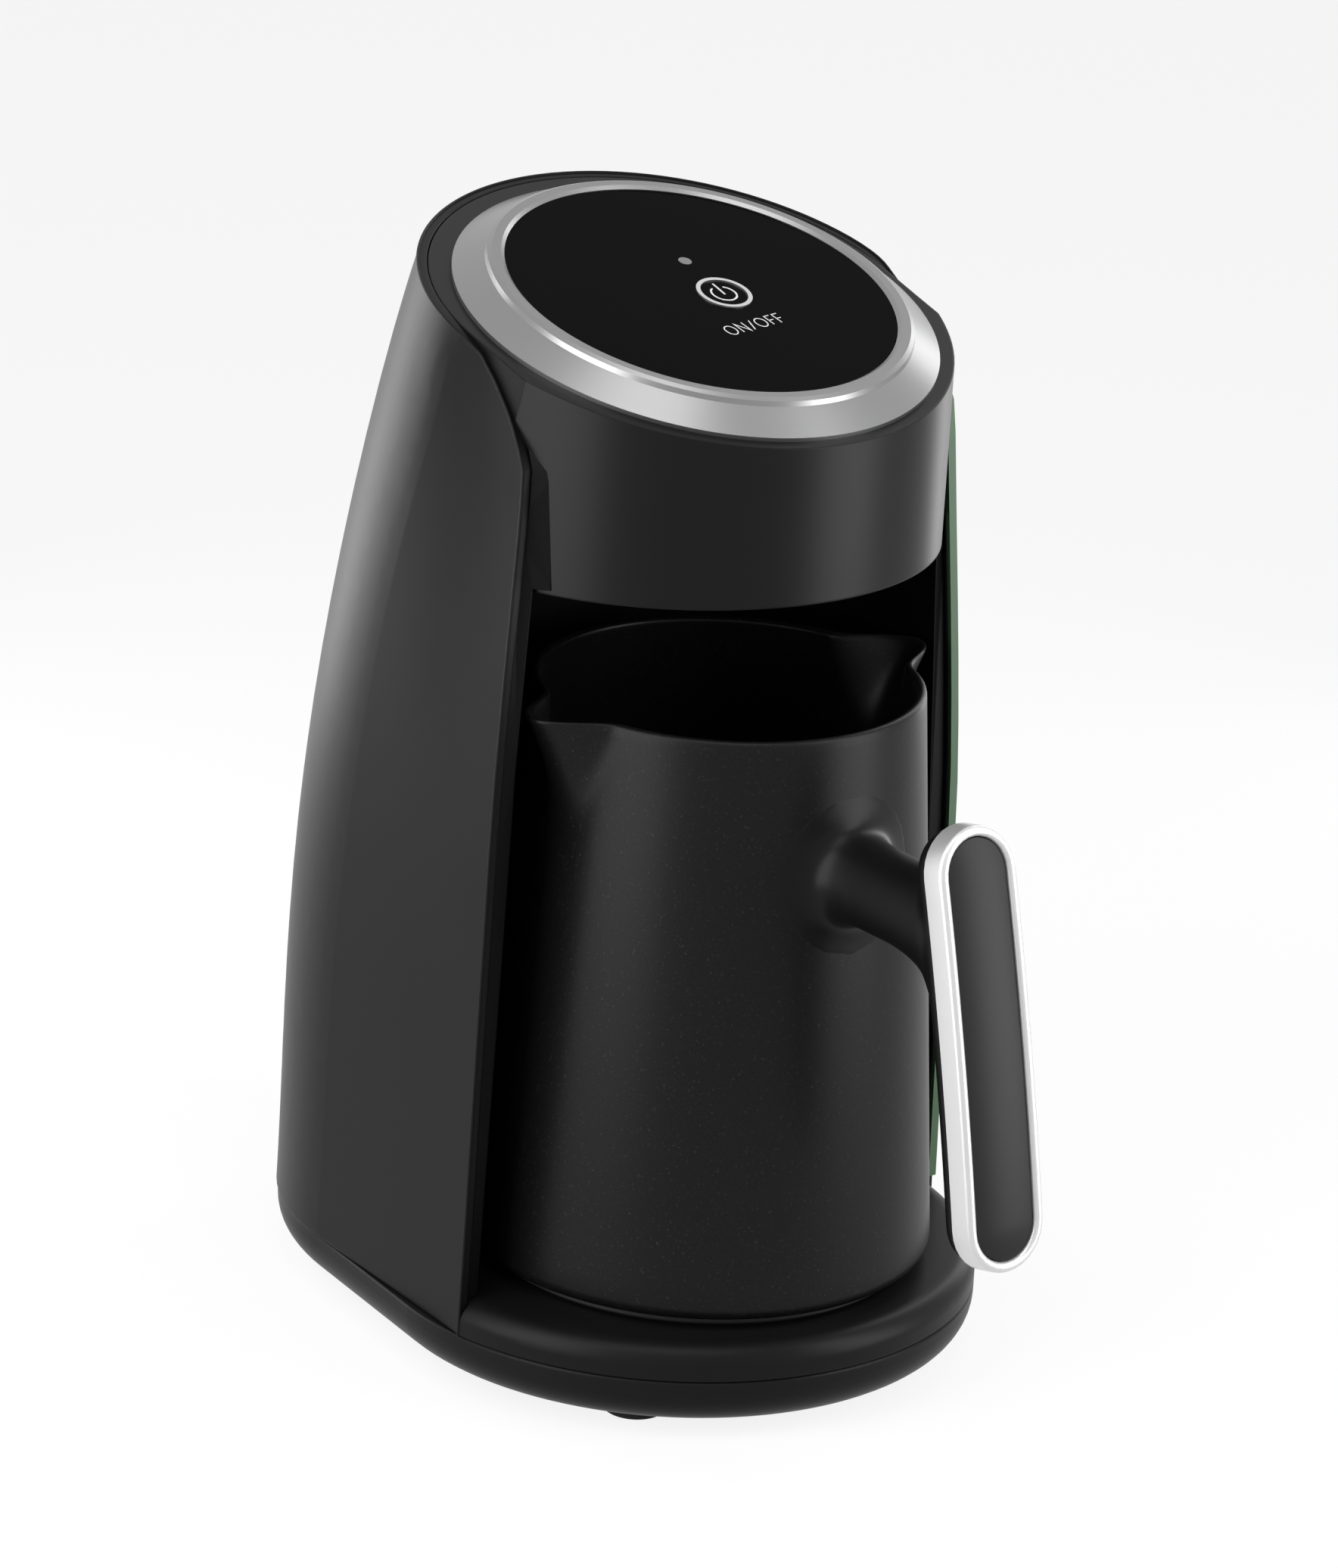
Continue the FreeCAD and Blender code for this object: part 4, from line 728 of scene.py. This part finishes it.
label = {"across": -1.9, "back": -12.6, "turn": 7, "tall": 3.3, "line": 0.27, "thick": 0.03,
         "middleBar": 0.8, "roundSteps": 36,
         "letters": (("O", -6.2, 2.6), ("N", -2.85, 2.0), ("/", -0.2, 1.1), ("O", 2.5, 2.6),
                     ("F", 5.5, 1.4), ("F", 7.7, 1.4))}  # letter, place along the line and width


def letterPaths(letter, wide):  # strokes of one letter about its middle, and whether each is closed
    w, t = wide / 2, label["tall"] / 2
    if letter == "O":
        return [(arc(w, t, 0, 360, label["roundSteps"])[:-1], True)]
    strokes = {"N": (((-w, -t), (-w, t), (w, -t), (w, t)),),
               "/": (((-w, -t), (w, t)),),
               "F": (((w, t), (-w, t), (-w, -t)), ((-w, 0), (w * label["middleBar"], 0)))}
    return [([Vector(spot) for spot in stroke], False) for stroke in strokes[letter]]


def makeLabel():
    bm = bmesh.new()
    turn = Matrix.Rotation(math.radians(label["turn"]), 2)
    start = Vector((label["across"], label["back"]))
    level = topOf("top_panel")
    for letter, along, wide in label["letters"]:
        for path, closed in letterPaths(letter, wide):
            spots = [turn @ (spot + Vector((along, 0))) + start for spot in path]
            ribbon(bm, spots, label, level, closed)
    addPiece("panel_label", toMesh(bm, "panelLabel"), "machine", "mark_silver", "mark_white", smooth=False)


makeSymbol()
makeLabel()
print("marks on the panel done")


# Stage: a pale floor that keeps the shadow, under a white sky
stage = {"floor": 8.0, "floorDrop": 0.0002, "floorTone": 0.88, "glow": 0.86, "sky": 0.30}


def seenAsWhite(f):  # 1 for rays from the camera, a reflection or a refraction
    camera, glossy, clear = (f.add("ShaderNodeLightPath", output="Is " + kind + " Ray")
                             for kind in ("Camera", "Glossy", "Transmission"))
    return f.add("ShaderNodeMath", {"operation": "MAXIMUM"}, {0: camera, 1: glossy + clear})


def makeFloor():
    half, low = stage["floor"] / 2, -stage["floorDrop"]
    corners = ((-half, -half), (half, -half), (half, half), (-half, half))
    mesh = bpy.data.meshes.new("floor")
    mesh.from_pydata([(x, y, low) for x, y in corners], [], [range(len(corners))])
    floor = bpy.data.objects.new("floor", mesh)
    scene.collection.objects.link(floor)
    f = Finish("floor_white")
    plain = f.add("ShaderNodeBsdfDiffuse", None, {"Color": tone(stage["floorTone"])})
    glow = f.add("ShaderNodeEmission", None, {"Color": tone(1), "Strength": 1.0})
    share = seenAsWhite(f) * stage["glow"]
    mesh.materials.append(f.surface(f.add("ShaderNodeMixShader", None, {0: share, 1: plain, 2: glow})))


def makeSky():
    f = Finish("sky", sky=True)
    dim = f.add("ShaderNodeBackground", None, {"Color": tone(1), "Strength": stage["sky"]})
    white = f.add("ShaderNodeBackground", None, {"Color": tone(1), "Strength": 1.0})
    scene.world = f.surface(f.add("ShaderNodeMixShader", None, {0: seenAsWhite(f), 1: dim, 2: white}))


lamps = {  # direction over the floor, distance and height in metres, size, radiance
    "left": dict(way=(-1.0, -0.02), far=0.42, height=0.36, size=(0.30, 0.70), glow=4.6),
    "right": dict(way=(0.588, -0.809), far=0.45, height=0.36, size=(0.22, 0.70), glow=5.5),
    "leftBack": dict(way=(-0.275, 0.961), far=0.50, height=0.28, size=(0.30, 0.54), glow=3.4),
    "rightBack": dict(way=(0.961, 0.275), far=0.50, height=0.36, size=(0.10, 0.70), glow=3.2),
    "top": dict(way=(-0.25, -0.35), far=0.5, height=1.6, size=(0.8, 0.8), glow=2.5),
}
lampAim = Vector((0, 0, 0.36))


def makeLamps():  # the camera doesn't see them, and reflections do
    for name, look in lamps.items():
        data = bpy.data.lights.new(name, "AREA")
        data.shape = "RECTANGLE"
        data.size, data.size_y = look["size"]
        data.energy = look["glow"] * math.pi * data.size * data.size_y
        lamp = bpy.data.objects.new(name, data)
        lamp.location = Vector((*look["way"], 0)).normalized() * look["far"] + Vector((0, 0, look["height"]))
        lamp.rotation_euler = (lampAim - lamp.location).to_track_quat("-Z", "Y").to_euler()
        lamp.visible_camera = False
        scene.collection.objects.link(lamp)


# Camera: angles in degrees, lengths in metres, pixels in the photograph's frame
shot = {"azimuth": -39, "elevation": 19.76, "roll": 3.33, "distance": 1.37166, "focal": 8626.4,
        "aimHeight": 0.120, "aimPixel": (953.7, 1061.2), "frame": (1768, 2072), "sensor": 36, "clipEnd": 50}


def makeCamera():
    azimuth, elevation, roll = (math.radians(shot[key]) for key in ("azimuth", "elevation", "roll"))
    flat = math.cos(elevation)
    ahead = -Vector((math.sin(azimuth) * flat, -math.cos(azimuth) * flat, math.sin(elevation)))
    level = Vector((math.cos(azimuth), math.sin(azimuth), 0))
    plumb = ahead.cross(level)
    right = level * math.cos(roll) - plumb * math.sin(roll)
    down = level * math.sin(roll) + plumb * math.cos(roll)
    wide, tall = shot["frame"]
    offX = (shot["aimPixel"][0] - wide / 2) / shot["focal"]
    offY = (shot["aimPixel"][1] - tall / 2) / shot["focal"]
    target = Vector((potAxis.x, potAxis.y, shot["aimHeight"]))
    spot = target - (right * offX + down * offY + ahead) * shot["distance"]
    data = bpy.data.cameras.new("camera")
    data.sensor_width = shot["sensor"]
    data.lens = shot["focal"] * shot["sensor"] / tall
    data.clip_end = shot["clipEnd"]
    camera = bpy.data.objects.new("camera", data)
    turn = Matrix((right, -down, -ahead)).transposed().to_4x4()
    camera.matrix_world = Matrix.Translation(spot) @ turn
    scene.collection.objects.link(camera)
    scene.camera = camera


makeFloor()
makeSky()
makeLamps()
makeCamera()
scene.view_settings.view_transform = "Standard"
print("stage, lamps and camera done")
